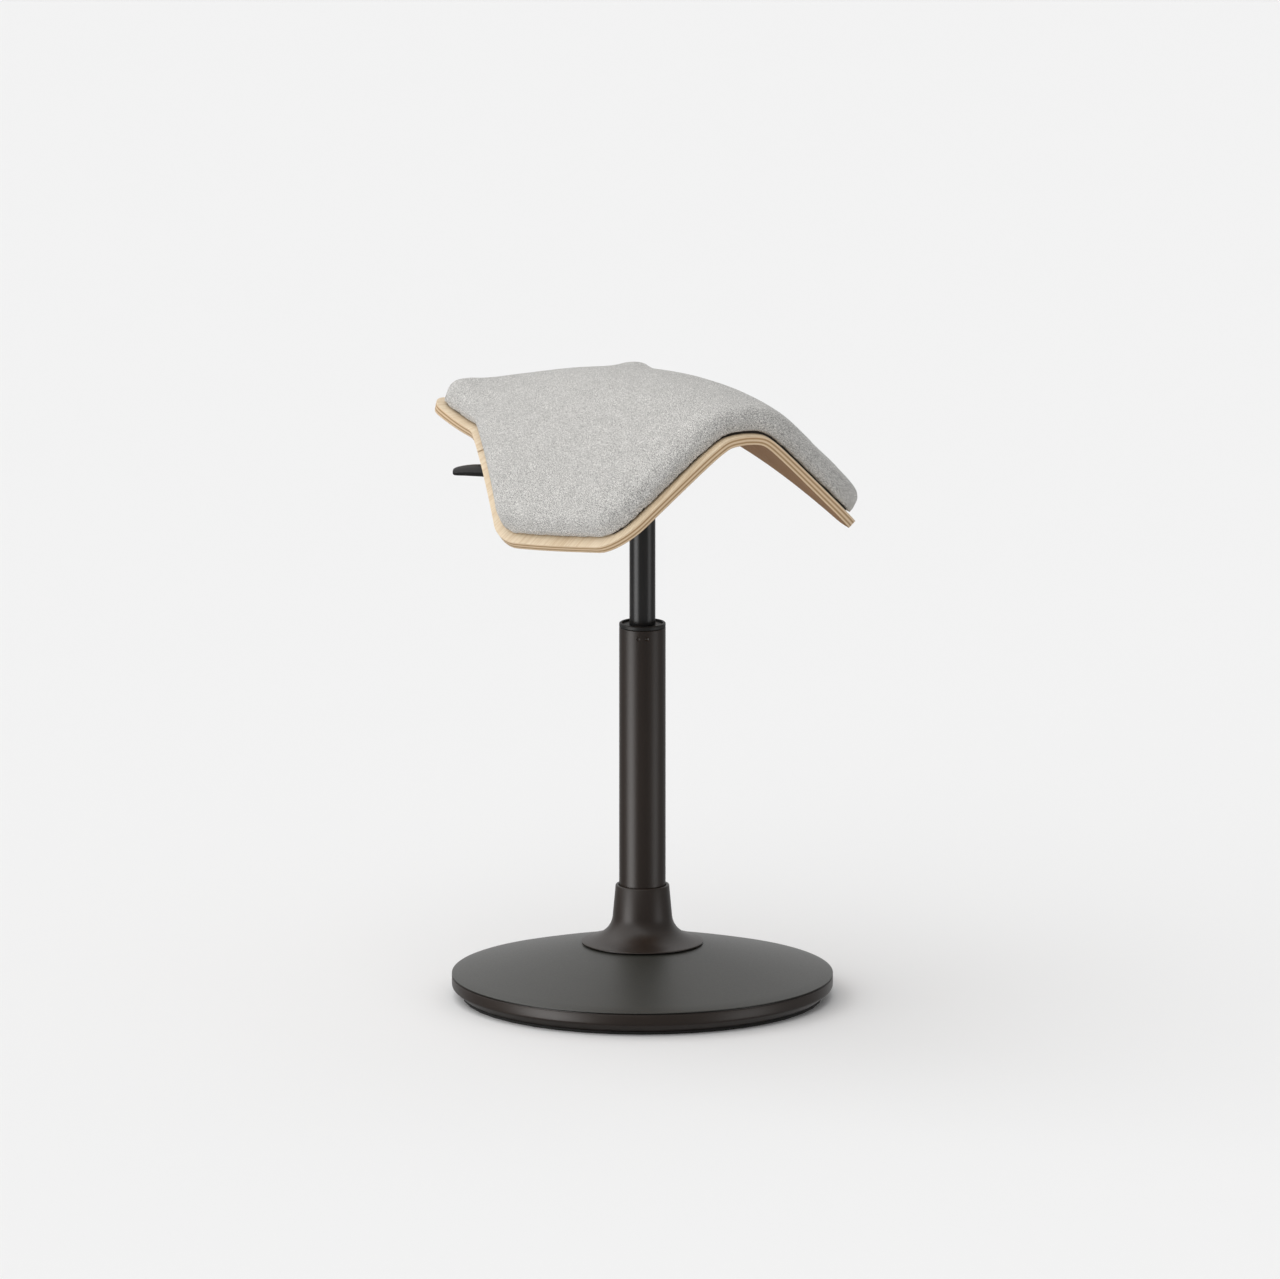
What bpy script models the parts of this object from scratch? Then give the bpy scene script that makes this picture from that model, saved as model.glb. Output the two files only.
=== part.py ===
"""Saddle stool: a moulded plywood saddle with a fabric pad, on a gas lift column and a weighted disc base.

Metres, +Z up. The origin is on the floor, on the column's axis, and the sitter faces -Y.
"""

import math

import bmesh
import bpy
from mathutils import Matrix, Vector

# Clearance between pieces that seat on or in each other
FIT = 0.0003

# Disc base
BASE_RADIUS = 0.205
FLOOR_PAD_THICKNESS = 0.003
BEVEL_WIDTH = 0.0115
BEVEL_HEIGHT = 0.0092
RIM_HEIGHT = 0.0119
RIM_LIP = 0.009
PAN_WALL = 0.0025
BALLAST_THICKNESS = 0.008
BALLAST_EDGE_GAP = 0.006
BALLAST_BORE = 0.014
COVER_SHEET = 0.0015
COVER_RISE = 0.0324
COVER_CROWN = 0.001
COVER_BORE = 0.036
PAN_SCREW_CIRCLE = 0.150
PAN_SCREW_RADIUS = 0.0024
PAN_SCREW_HEAD_RADIUS = 0.005
PAN_SCREW_GRIP = 0.008

# Hub that holds the column, and the collar that hides it
HUB_FLANGE_RADIUS = 0.048
HUB_FLANGE = 0.006
HUB_HEIGHT = 0.060
HUB_WALL = 0.005
HUB_BOLT_CIRCLE = 0.0395
HUB_BOLT_RADIUS = 0.0035
HUB_BOLT_HEAD_RADIUS = 0.0065
HUB_BOLT_HEAD = 0.005
COLLAR_FLANGE_RADIUS = 0.0655
COLLAR_EDGE = 0.001
COLLAR_HEIGHT = 0.0645
COLLAR_NECK_RADIUS = 0.0318
COLLAR_TOP_RADIUS = 0.0288
COLLAR_NECK_HEIGHT = 0.032
COLLAR_FLARE_LIFT = 0.009
COLLAR_WALL = 0.002
COLLAR_LIP = 0.003

# Column
COLUMN_RADIUS = 0.025
COLUMN_TOP = 0.406
TUBE_WALL = 0.002
TUBE_LIFT = 0.004
TUBE_FLOOR = 0.003
TAPER_LENGTH = 0.085
TAPER_NARROWING = 0.0008
BUSH_LENGTH = 0.116
BUSH_HEAD = 0.0047

# Gas spring and its bearing
CYLINDER_RADIUS = 0.014
CYLINDER_WALL = 0.0018
CYLINDER_TOP = 0.598
CYLINDER_HEAD = 0.028
CYLINDER_TAPER_LENGTH = 0.045
CYLINDER_NARROWING = 0.0006
STROKE_DOWN = 0.145
STROKE_END_GAP = 0.003
ROD_RADIUS = 0.005
ROD_STEP = 0.001
ROD_TIP_REACH = 0.010
ROD_SPIGOT_RADIUS = 0.003
ROD_SPIGOT_REACH = 0.003
ROD_GUIDE_LENGTH = 0.020
PISTON_LIFT = 0.010
PISTON_LENGTH = 0.018
PISTON_GAP = 0.0004
WASHER_THICKNESS = 0.002
WASHER_RADIUS = 0.016
BALL_RADIUS = 0.003
BALL_CIRCLE = 0.011
BALL_COUNT = 6
CAGE_WIDTH = 0.005
CAGE_THICKNESS = 0.0024
BUFFER_RADIUS = 0.014
BUFFER_HEIGHT = 0.016
CLIP_RADIUS = 0.009
CLIP_THICKNESS = 0.0012
CLIP_GROOVE = 0.001
CLIP_MOUTH = 0.005
VALVE_PIN_RADIUS = 0.004
VALVE_PIN_NOSE_RADIUS = 0.0022
VALVE_PIN_NOSE = 0.0012
VALVE_PIN_REACH = 0.0055
VALVE_PIN_SHANK = 0.010
VALVE_TRAVEL = 0.0045

# Seat mechanism
PLATE_TOP = 0.622
PLATE_THICKNESS = 0.004
PLATE_WIDTH = 0.092
PLATE_LENGTH = 0.150
PLATE_CORNER = 0.010
MECH_BOLT_X = 0.034
MECH_BOLT_Y = 0.060
MECH_BOLT_RADIUS = 0.003
MECH_BOLT_HEAD_RADIUS = 0.0062
MECH_BOLT_HEAD = 0.0045
INSERT_RADIUS = 0.0045
INSERT_LENGTH = 0.0066
BLOCK_WIDTH = 0.098
BLOCK_LENGTH = 0.158
BLOCK_CORNER = 0.014
HOUSING_OPEN_END = -0.050
HOUSING_CLOSED_END = 0.034
HOUSING_WIDTH = 0.060
HOUSING_HEIGHT = 0.034
HOUSING_WALL = 0.003
SOCKET_RADIUS = 0.020
SOCKET_FLANGE_RADIUS = 0.024
SOCKET_FLANGE = 0.005
SOCKET_LENGTH = 0.032

# Height lever, measured from its pivot
PIVOT_X = -0.038
PIVOT_PIN_RADIUS = 0.003
PIVOT_PIN_END = 0.004
PIVOT_RING_RADIUS = 0.0055
PIVOT_RING = 0.0012
BARREL_RADIUS = 0.007
TONGUE_WIDTH = 0.012
TONGUE_THICKNESS = 0.005
TONGUE_OVERRUN = 0.006
LEVER_ROD_RADIUS = 0.0045
LEVER_HEADING = math.radians(134.6)
LEVER_REACH = 0.1796
LEVER_DROP = 0.0352
LEVER_START_RUN = 0.041
LEVER_END_RUN = 0.060
LEVER_POINTS = 12
PADDLE_LENGTH = 0.052
PADDLE_GRIP = 0.026
PADDLE_HEIGHT = 0.0124
PADDLE_WIDTH = 0.020
PADDLE_TIP_DROP = 0.005

# Saddle: heights and sections of the plywood's top face at the rear, over the column and at the front
SEAT_REAR = 0.258
SEAT_FRONT = 0.255
RIDGE_REAR = 0.607
RIDGE_MIDDLE = 0.657
RIDGE_FRONT = 0.663
FLAT_REAR = 0.032
FLAT_MIDDLE = 0.045
FLAT_FRONT = 0.025
SLOPE_REAR = -0.10
SLOPE_MIDDLE = 0.72
SLOPE_FRONT = 0.99
BEND_REAR = 0.037
BEND_FRONT = 0.011
CORNER_RISE = 0.008
CORNER_RISE_START = 0.160

# Saddle outline, seen from above
REAR_CORNER_X = 0.1315
REAR_CORNER_RADIUS = 0.029
WAIST_X = 0.1325
WAIST_Y = 0.149
WAIST_RADIUS = 0.045
WING_REAR_X = 0.201
WING_REAR_Y = -0.060
WING_REAR_RADIUS = 0.034
WING_FRONT_X = 0.145
WING_FRONT_Y = -0.229
WING_FRONT_RADIUS = 0.034
NOSE_HALF_WIDTH = 0.031
SLIT_Y = 0.095
SLIT_LENGTH = 0.0085
SLIT_WIDTH = 0.0011

# Layers of the seat, along the surface normal
PLY_THICKNESS = 0.010
BOARD_THICKNESS = 0.004
PAD_THICKNESS = 0.028
PAD_MARGIN = 0.008
PAD_EDGE_RADIUS = 0.015
PAD_TUCK = 0.002
PAD_CROWN = 0.002
COVER_FABRIC = 0.0012
LEAST_CORNER = 0.002
PAD_SCREW_RADIUS = 0.002
PAD_SCREW_HEAD_RADIUS = 0.0045
PAD_SCREW_HEAD = 0.0028
PAD_INSERT_RADIUS = 0.0042

# Facets
DISC_STEPS = 40
COLUMN_STEPS = 28
SMALL_STEPS = 14
FASTENER_STEPS = 8
ARC_STEPS = 3
PAD_EDGE_STEPS = 2
RIDGE_ZONE = 0.060
RIDGE_CUTS = 5
WING_CUTS = 3
LENGTH_CUTS = 9

# Heights that follow from the sizes above
PAN_BOTTOM = FLOOR_PAD_THICKNESS + FIT
RIM_BOTTOM = PAN_BOTTOM + BEVEL_HEIGHT
RIM_TOP = RIM_BOTTOM + RIM_HEIGHT
COVER_EDGE_TOP = RIM_TOP + FIT + COVER_SHEET
COLLAR_BOTTOM = COVER_EDGE_TOP + COVER_RISE + FIT
BALLAST_BOTTOM = PAN_BOTTOM + PAN_WALL + FIT
BALLAST_TOP = BALLAST_BOTTOM + BALLAST_THICKNESS
HUB_BOTTOM = BALLAST_TOP + FIT
TUBE_BOTTOM = HUB_BOTTOM + TUBE_LIFT
TUBE_FLOOR_TOP = TUBE_BOTTOM + TUBE_FLOOR
LOWER_WASHER = TUBE_FLOOR_TOP + FIT
BALL_BOTTOM = LOWER_WASHER + WASHER_THICKNESS + FIT
UPPER_WASHER = BALL_BOTTOM + 2 * BALL_RADIUS + FIT
ROD_SHOULDER = UPPER_WASHER + WASHER_THICKNESS + FIT
CYLINDER_BOTTOM = ROD_SHOULDER + BUFFER_HEIGHT + STROKE_DOWN + STROKE_END_GAP
PISTON_BOTTOM = COLUMN_TOP - BUSH_LENGTH + PISTON_LIFT
PLATE_BOTTOM = PLATE_TOP - PLATE_THICKNESS
HOUSING_BOTTOM = PLATE_BOTTOM - FIT - HOUSING_HEIGHT
SOCKET_SEAT = HOUSING_BOTTOM + HOUSING_WALL + FIT
VALVE_PIN_TOP = CYLINDER_TOP + VALVE_PIN_REACH
TONGUE_BOTTOM = VALVE_PIN_TOP + FIT
PIVOT_Z = TONGUE_BOTTOM + TONGUE_THICKNESS / 2
FOAM_BOTTOM = FIT + BOARD_THICKNESS + FIT
FOAM_TOP = PAD_THICKNESS - COVER_FABRIC - FIT
FOAM_EDGE_RADIUS = PAD_EDGE_RADIUS - COVER_FABRIC - FIT

# Finishes: colour, roughness and metallic value
FINISHES = {
    "black_powder_coat": ((0.030, 0.029, 0.027), 0.45, 0.0),
    "graphite_powder_coat": ((0.075, 0.075, 0.070), 0.55, 0.0),
    "black_plastic": ((0.012, 0.012, 0.012), 0.45, 0.0),
    "black_cylinder": ((0.010, 0.010, 0.010), 0.25, 0.2),
    "rubber": ((0.015, 0.015, 0.015), 0.85, 0.0),
    "ballast_steel": ((0.18, 0.17, 0.16), 0.60, 1.0),
    "zinc_steel": ((0.55, 0.55, 0.53), 0.35, 1.0),
    "ground_steel": ((0.60, 0.60, 0.60), 0.20, 1.0),
    "brass": ((0.60, 0.42, 0.18), 0.35, 1.0),
    "oak_ply": ((0.62, 0.43, 0.26), 0.50, 0.0),
    "grey_felted_fabric": ((0.50, 0.49, 0.47), 0.95, 0.0),
    "foam": ((0.75, 0.68, 0.45), 0.90, 0.0),
    "birch_board": ((0.60, 0.45, 0.29), 0.60, 0.0),
}


def finish(name):
    """The named material, made the first time it is asked for."""
    made = bpy.data.materials.get(name)
    if made:
        return made
    colour, roughness, metallic = FINISHES[name]
    made = bpy.data.materials.new(name)
    made.use_nodes = True
    shader = made.node_tree.nodes["Principled BSDF"]
    shader.inputs["Base Color"].default_value = (*colour, 1.0)
    shader.inputs["Roughness"].default_value = roughness
    shader.inputs["Metallic"].default_value = metallic
    made.diffuse_color = (*colour, 1.0)
    return made


def add_collection(name):
    made = bpy.data.collections.new(name)
    bpy.context.scene.collection.children.link(made)
    return made


def add_empty(name, place, parent=None):
    """An axis that pieces hang from, at a place in the world."""
    empty = bpy.data.objects.new(name, None)
    bpy.data.collections["saddle_stool"].objects.link(empty)
    empty.location = place
    hang(empty, parent)
    return empty


def hang(obj, parent):
    """Parents an object to an axis and leaves it where it is in the world."""
    if parent is None:
        return
    obj.parent = parent
    bpy.context.view_layer.update()
    obj.matrix_parent_inverse = parent.matrix_world.inverted()


def add_piece(name, mesh, finish_name, parent, place=(0, 0, 0), turn=None):
    piece = bpy.data.objects.new(name, mesh)
    bpy.data.collections["saddle_stool"].objects.link(piece)
    piece.location = place
    if turn is not None:
        piece.rotation_mode = "QUATERNION"
        piece.rotation_quaternion = turn
    mesh.materials.append(finish(finish_name))
    hang(piece, parent)
    return piece


def mesh_from(bm, name):
    mesh = bpy.data.meshes.new(name)
    bm.to_mesh(mesh)
    bm.free()
    return mesh


def add_cutter(name, bm):
    """A helper solid for a Boolean, which isn't a piece of the stool."""
    bmesh.ops.recalc_face_normals(bm, faces=bm.faces[:])
    cutter = bpy.data.objects.new(name, mesh_from(bm, name))
    bpy.data.collections["cutters"].objects.link(cutter)
    cutter.hide_render = True
    cutter.display_type = "WIRE"
    return cutter


def combine(piece, helper, operation="DIFFERENCE"):
    boolean = piece.modifiers.new(operation.lower() + "_" + helper.name, "BOOLEAN")
    boolean.operation = operation
    boolean.object = helper
    boolean.solver = "EXACT"


def turned(name, profile, finish_name, parent, place=(0, 0, 0), turn=None, steps=SMALL_STEPS):
    """A lathe piece. Its (radius, height) profile runs down the outer side and ends on the axis or closes."""
    bm = bmesh.new()
    points = [bm.verts.new((radius, 0, height)) for radius, height in profile]
    for first, second in zip(points, points[1:]):
        bm.edges.new((first, second))
    if profile[0][0] > 0:
        bm.edges.new((points[-1], points[0]))
    piece = add_piece(name, mesh_from(bm, name), finish_name, parent, place, turn)
    screw = piece.modifiers.new("lathe", "SCREW")
    screw.steps = steps
    screw.render_steps = steps
    screw.use_merge_vertices = True
    screw.merge_threshold = 0.00001
    return piece


def ring(outer, inner, bottom, top):
    """The profile of a plain ring."""
    return [(outer, top), (outer, bottom), (inner, bottom), (inner, top)]


def headed_pin(radius, length, head_radius, head):
    """The profile of a fastener that points up, with its head below the origin."""
    return [(0, length), (radius, length), (radius, 0), (head_radius, 0), (head_radius, -head), (0, -head)]


def add_cone(bm, place, radius, half_length, top_radius=None, turn=None, steps=FASTENER_STEPS):
    """A cylinder, or a cone where its top radius differs, added to a cutter."""
    matrix = Matrix.Translation(place)
    if turn is not None:
        matrix = matrix @ turn.to_matrix().to_4x4()
    bmesh.ops.create_cone(
        bm,
        cap_ends=True,
        segments=steps,
        radius1=radius,
        radius2=radius if top_radius is None else top_radius,
        depth=2 * half_length,
        matrix=matrix,
    )


def add_block(bm, low, high):
    """A box between two corners, added to a mesh."""
    low, high = Vector(low), Vector(high)
    matrix = Matrix.Translation((low + high) / 2) @ Matrix.Diagonal((*(high - low), 1))
    bmesh.ops.create_cube(bm, size=1, matrix=matrix)


def around(count, radius, height=0.0):
    """Places spaced evenly on a circle about the column."""
    step = 2 * math.pi / count
    start = step / 2
    return [
        Vector((radius * math.cos(start + i * step), radius * math.sin(start + i * step), height))
        for i in range(count)
    ]


def column_radius(height):
    """The tube's outer radius, which narrows into the hub."""
    share = min(max((height - TUBE_BOTTOM) / TAPER_LENGTH, 0), 1)
    return COLUMN_RADIUS - TAPER_NARROWING * (1 - share)


def cylinder_radius(height):
    """The gas cylinder's outer radius, which narrows into the seat's socket."""
    share = min(max((CYLINDER_TOP - height) / CYLINDER_TAPER_LENGTH, 0), 1)
    return CYLINDER_RADIUS - CYLINDER_NARROWING * (1 - share)


def cover_height(radius):
    """The top face of the base's shallow cone, slightly crowned between the rim and the collar."""
    share = (BASE_RADIUS - radius) / (BASE_RADIUS - COLLAR_FLANGE_RADIUS)
    return COVER_EDGE_TOP + COVER_RISE * share + 4 * COVER_CROWN * share * (1 - share)


def stations(rear, middle, front, y):
    """A parabola through the seat's three sections."""
    return (
        rear * y * (y + SEAT_FRONT) / (SEAT_REAR * (SEAT_REAR + SEAT_FRONT))
        + middle * (SEAT_REAR - y) * (y + SEAT_FRONT) / (SEAT_REAR * SEAT_FRONT)
        + front * y * (y - SEAT_REAR) / (SEAT_FRONT * (SEAT_REAR + SEAT_FRONT))
    )


def seat_height(x, y):
    """The plywood's top face: a flat ridge that bends into a straight wing on each side.

    The rear corners turn up a little past the waist.
    """
    ridge = stations(RIDGE_REAR, RIDGE_MIDDLE, RIDGE_FRONT, y)
    flat = stations(FLAT_REAR, FLAT_MIDDLE, FLAT_FRONT, y)
    slope = stations(SLOPE_REAR, SLOPE_MIDDLE, SLOPE_FRONT, y)
    bend = BEND_FRONT + (BEND_REAR - BEND_FRONT) * (y + SEAT_FRONT) / (SEAT_REAR + SEAT_FRONT)
    past = abs(x) - flat
    fall = math.hypot(past, bend) + past - (math.hypot(flat, bend) - flat)
    past_waist = max(y - CORNER_RISE_START, 0) / (SEAT_REAR - CORNER_RISE_START)
    return ridge - slope * fall / 2 + CORNER_RISE * (past_waist * x / REAR_CORNER_X) ** 2


def seat_normal(x, y):
    step = 0.0005
    along_x = seat_height(x + step, y) - seat_height(x - step, y)
    along_y = seat_height(x, y + step) - seat_height(x, y - step)
    return Vector((-along_x, -along_y, 2 * step)).normalized()


def on_seat(x, y, lift):
    """A place over or under the plywood's top face, along its normal."""
    crown = PAD_CROWN * (1 - (x / WING_REAR_X) ** 2) * (1 - (y / SEAT_REAR) ** 2)
    rise = lift + max(crown, 0) * max(lift - FOAM_BOTTOM, 0) / PAD_THICKNESS
    return Vector((x, y, seat_height(x, y))) + rise * seat_normal(x, y)


def saddle_corners():
    """Corners of the plywood's outline as (place, radius), counterclockwise from above."""
    right = [
        (Vector((NOSE_HALF_WIDTH, -SEAT_FRONT)), 0.0),
        (Vector((WING_FRONT_X, WING_FRONT_Y)), WING_FRONT_RADIUS),
        (Vector((WING_REAR_X, WING_REAR_Y)), WING_REAR_RADIUS),
        (Vector((WAIST_X, WAIST_Y)), WAIST_RADIUS),
        (Vector((REAR_CORNER_X, SEAT_REAR)), REAR_CORNER_RADIUS),
    ]
    left = [(Vector((-place.x, place.y)), radius) for place, radius in reversed(right)]
    return right + left


def box_corners(width, length, radius):
    """Corners of a rounded rectangle about the column."""
    x, y = width / 2, length / 2
    return [(Vector(place), radius) for place in ((x, -y), (x, y), (-x, y), (-x, -y))]


def rounded_outline(corners, inset=0.0):
    """The outline's points, drawn in by an inset, with an arc at each corner that has a radius."""
    outline = []
    for i, (corner, radius) in enumerate(corners):
        arriving = (corner - corners[i - 1][0]).normalized()
        leaving = (corners[(i + 1) % len(corners)][0] - corner).normalized()
        turn_left = -arriving.angle_signed(leaving)
        inward = Vector((-arriving.y, arriving.x)) + Vector((-leaving.y, leaving.x))
        corner = corner + inset * inward / (1 + arriving.dot(leaving))
        if radius == 0:
            outline.append(corner)
            continue
        radius = max(radius - math.copysign(inset, turn_left), LEAST_CORNER)
        reach = radius * math.tan(abs(turn_left) / 2)
        start = corner - reach * arriving
        side = math.copysign(1, turn_left)
        centre = start + radius * side * Vector((-arriving.y, arriving.x))
        for step in range(ARC_STEPS + 1):
            spoke = (start - centre).copy()
            spoke.rotate(Matrix.Rotation(turn_left * step / ARC_STEPS, 2))
            outline.append(centre + spoke)
    return outline


def panel_cuts():
    """Where the seat's panels are divided so they can bend: closely over the ridge, widely on the wings."""
    ridge = [RIDGE_ZONE * i / RIDGE_CUTS for i in range(1, RIDGE_CUTS + 1)]
    wing_step = (WING_REAR_X - RIDGE_ZONE) / (WING_CUTS + 1)
    wing = [RIDGE_ZONE + wing_step * i for i in range(1, WING_CUTS + 1)]
    across = [0.0] + [side * x for x in ridge + wing for side in (1, -1)]
    length_step = (SEAT_REAR + SEAT_FRONT) / (LENGTH_CUTS + 1)
    along = [-SEAT_FRONT + length_step * i for i in range(1, LENGTH_CUTS + 1)]
    return across, along


def flat_panel(inset):
    """The seat's flat panel drawn in by an inset: points, triangles, and edge loop with outward normals."""
    bm = bmesh.new()
    bm.faces.new([bm.verts.new((*point, 0)) for point in rounded_outline(saddle_corners(), inset)])
    across, along = panel_cuts()
    planes = [((0, y, 0), (0, 1, 0)) for y in along] + [((x, 0, 0), (1, 0, 0)) for x in across]
    for place, normal in planes:
        everything = bm.verts[:] + bm.edges[:] + bm.faces[:]
        bmesh.ops.bisect_plane(bm, geom=everything, dist=0.0004, plane_co=place, plane_no=normal)
    bmesh.ops.triangulate(bm, faces=bm.faces[:])
    bmesh.ops.recalc_face_normals(bm, faces=bm.faces[:])
    if sum(face.normal.z for face in bm.faces) < 0:
        bmesh.ops.reverse_faces(bm, faces=bm.faces[:])
    bm.verts.index_update()
    points = [vert.co.xy.copy() for vert in bm.verts]
    triangles = [[vert.index for vert in face.verts] for face in bm.faces]
    following = {}
    for edge in bm.edges:
        if edge.is_boundary:
            loop = edge.link_loops[0]
            following[loop.vert.index] = loop.link_loop_next.vert.index
    bm.free()
    edge_loop = [next(iter(following))]
    while following[edge_loop[-1]] != edge_loop[0]:
        edge_loop.append(following[edge_loop[-1]])
    outward = []
    for i, index in enumerate(edge_loop):
        arriving = (points[index] - points[edge_loop[i - 1]]).normalized()
        leaving = (points[edge_loop[(i + 1) % len(edge_loop)]] - points[index]).normalized()
        across_both = Vector((arriving.y, -arriving.x)) + Vector((leaving.y, -leaving.x))
        outward.append(across_both / (1 + arriving.dot(leaving)))
    return points, triangles, edge_loop, outward


def seat_layer(name, profile, panel):
    """A closed layer that follows the saddle.

    The profile of (outset, lift) starts and ends on the panel, below and above, and its other
    entries are rings round the panel's edge. Every strip is split from its outer ring, so that
    the facets of neighbouring layers stay parallel.
    """
    points, triangles, edge_loop, outward = panel
    bm = bmesh.new()
    lower = [bm.verts.new(on_seat(*point, profile[0][1])) for point in points]
    upper = [bm.verts.new(on_seat(*point, profile[-1][1])) for point in points]
    for corners in triangles:
        bm.faces.new([lower[i] for i in reversed(corners)])
        bm.faces.new([upper[i] for i in corners])
    rings = [[lower[i] for i in edge_loop]]
    for outset, lift in profile[1:-1]:
        places = [points[i] + outset * out for i, out in zip(edge_loop, outward)]
        rings.append([bm.verts.new(on_seat(*place, lift)) for place in places])
    rings.append([upper[i] for i in edge_loop])
    count = len(edge_loop)
    for k, (below, above) in enumerate(zip(rings, rings[1:])):
        (outset, lift), (next_outset, next_lift) = profile[k : k + 2]
        outer_below = (outset, -lift) >= (next_outset, -next_lift)
        for i in range(count):
            j = (i + 1) % count
            if outer_below:
                bm.faces.new((below[i], below[j], above[j]))
                bm.faces.new((below[i], above[j], above[i]))
            else:
                bm.faces.new((below[i], below[j], above[i]))
                bm.faces.new((below[j], above[j], above[i]))
    mesh = mesh_from(bm, name)
    mesh.shade_smooth()
    mesh.set_sharp_from_angle(angle=math.radians(50))
    return mesh


def edge_arc(radius, top):
    """Rings of a rounded edge, from the side up to the panel's edge."""
    angles = [math.pi / 2 * (1 - i / PAD_EDGE_STEPS) for i in range(PAD_EDGE_STEPS)]
    return [(radius * math.sin(a), top - radius * (1 - math.cos(a))) for a in angles]


def prism(corners, bottom, top):
    """An upright solid with a rounded outline."""
    bm = bmesh.new()
    base = bm.faces.new([bm.verts.new((*point, bottom)) for point in rounded_outline(corners)])
    raised = bmesh.ops.extrude_face_region(bm, geom=[base])["geom"]
    raised_verts = [part for part in raised if isinstance(part, bmesh.types.BMVert)]
    bmesh.ops.translate(bm, verts=raised_verts, vec=(0, 0, top - bottom))
    bmesh.ops.recalc_face_normals(bm, faces=bm.faces[:])
    return bm


def four_ways(x, y):
    return [(side_x * x, side_y * y) for side_y in (-1, 1) for side_x in (-1, 1)]


def pad_screw_places():
    """Screw places where the panel's cuts cross, each with the surface's turn there."""
    across, along = panel_cuts()
    x = sorted(across)[-WING_CUTS]
    places = []
    for y in (along[3], along[-1]):
        for side in (-1, 1):
            normal = seat_normal(side * x, y)
            places.append(((side * x, y), Vector((0, 0, 1)).rotation_difference(normal)))
    return places


def insert_middle(x, y):
    """The middle of the plywood's thickness on an upright line."""
    return seat_height(x, y) - PLY_THICKNESS / 2 / seat_normal(x, y).z


def build_base(axis):
    foot_radius = BASE_RADIUS - BEVEL_WIDTH
    turned(
        "floor_pad",
        [(0, FLOOR_PAD_THICKNESS), (foot_radius, FLOOR_PAD_THICKNESS), (foot_radius, 0), (0, 0)],
        "rubber",
        axis,
        steps=DISC_STEPS,
    )
    inner_foot = foot_radius - PAN_WALL / 2
    pan = turned(
        "base_pan",
        [
            (BASE_RADIUS, RIM_TOP),
            (BASE_RADIUS, RIM_BOTTOM),
            (foot_radius, PAN_BOTTOM),
            (BALLAST_BORE, PAN_BOTTOM),
            (BALLAST_BORE, PAN_BOTTOM + PAN_WALL),
            (inner_foot, PAN_BOTTOM + PAN_WALL),
            (BASE_RADIUS - PAN_WALL, RIM_BOTTOM + PAN_WALL / 2),
            (BASE_RADIUS - PAN_WALL, RIM_TOP - PAN_WALL),
            (BASE_RADIUS - RIM_LIP, RIM_TOP - PAN_WALL),
            (BASE_RADIUS - RIM_LIP, RIM_TOP),
        ],
        "black_powder_coat",
        axis,
        steps=DISC_STEPS,
    )
    ballast = turned(
        "ballast_plate",
        ring(inner_foot - BALLAST_EDGE_GAP, BALLAST_BORE, 0, BALLAST_THICKNESS),
        "ballast_steel",
        axis,
        (0, 0, BALLAST_BOTTOM),
        steps=DISC_STEPS,
    )
    radii = [BASE_RADIUS, (BASE_RADIUS + COLLAR_FLANGE_RADIUS) / 2, COLLAR_FLANGE_RADIUS, COVER_BORE]
    top_face = [(radius, cover_height(radius)) for radius in reversed(radii)]
    under_face = [(radius, height - COVER_SHEET) for radius, height in reversed(top_face)]
    turned("base_cover", top_face + under_face, "graphite_powder_coat", axis, steps=DISC_STEPS)

    screw_holes = bmesh.new()
    pan_holes = bmesh.new()
    for i, place in enumerate(around(4, PAN_SCREW_CIRCLE, PAN_BOTTOM), 1):
        turned(
            f"pan_screw_{i}",
            [
                (0, PAN_WALL + PAN_SCREW_GRIP),
                (PAN_SCREW_RADIUS, PAN_WALL + PAN_SCREW_GRIP),
                (PAN_SCREW_RADIUS, PAN_WALL),
                (PAN_SCREW_HEAD_RADIUS, FIT),
                (0, FIT),
            ],
            "zinc_steel",
            axis,
            place,
            steps=FASTENER_STEPS,
        )
        add_cone(screw_holes, place, PAN_SCREW_RADIUS + FIT, 2 * BALLAST_THICKNESS)
        add_cone(
            pan_holes,
            place + Vector((0, 0, PAN_WALL / 2)),
            PAN_SCREW_HEAD_RADIUS + 3 * FIT,
            PAN_WALL / 2 + FIT,
            PAN_SCREW_RADIUS + 3 * FIT,
        )
    for place in around(4, HUB_BOLT_CIRCLE, BALLAST_BOTTOM):
        add_cone(screw_holes, place, HUB_BOLT_RADIUS + FIT, 2 * BALLAST_THICKNESS)
    combine(pan, add_cutter("pan_screw_holes", pan_holes))
    combine(ballast, add_cutter("ballast_holes", screw_holes))


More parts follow.
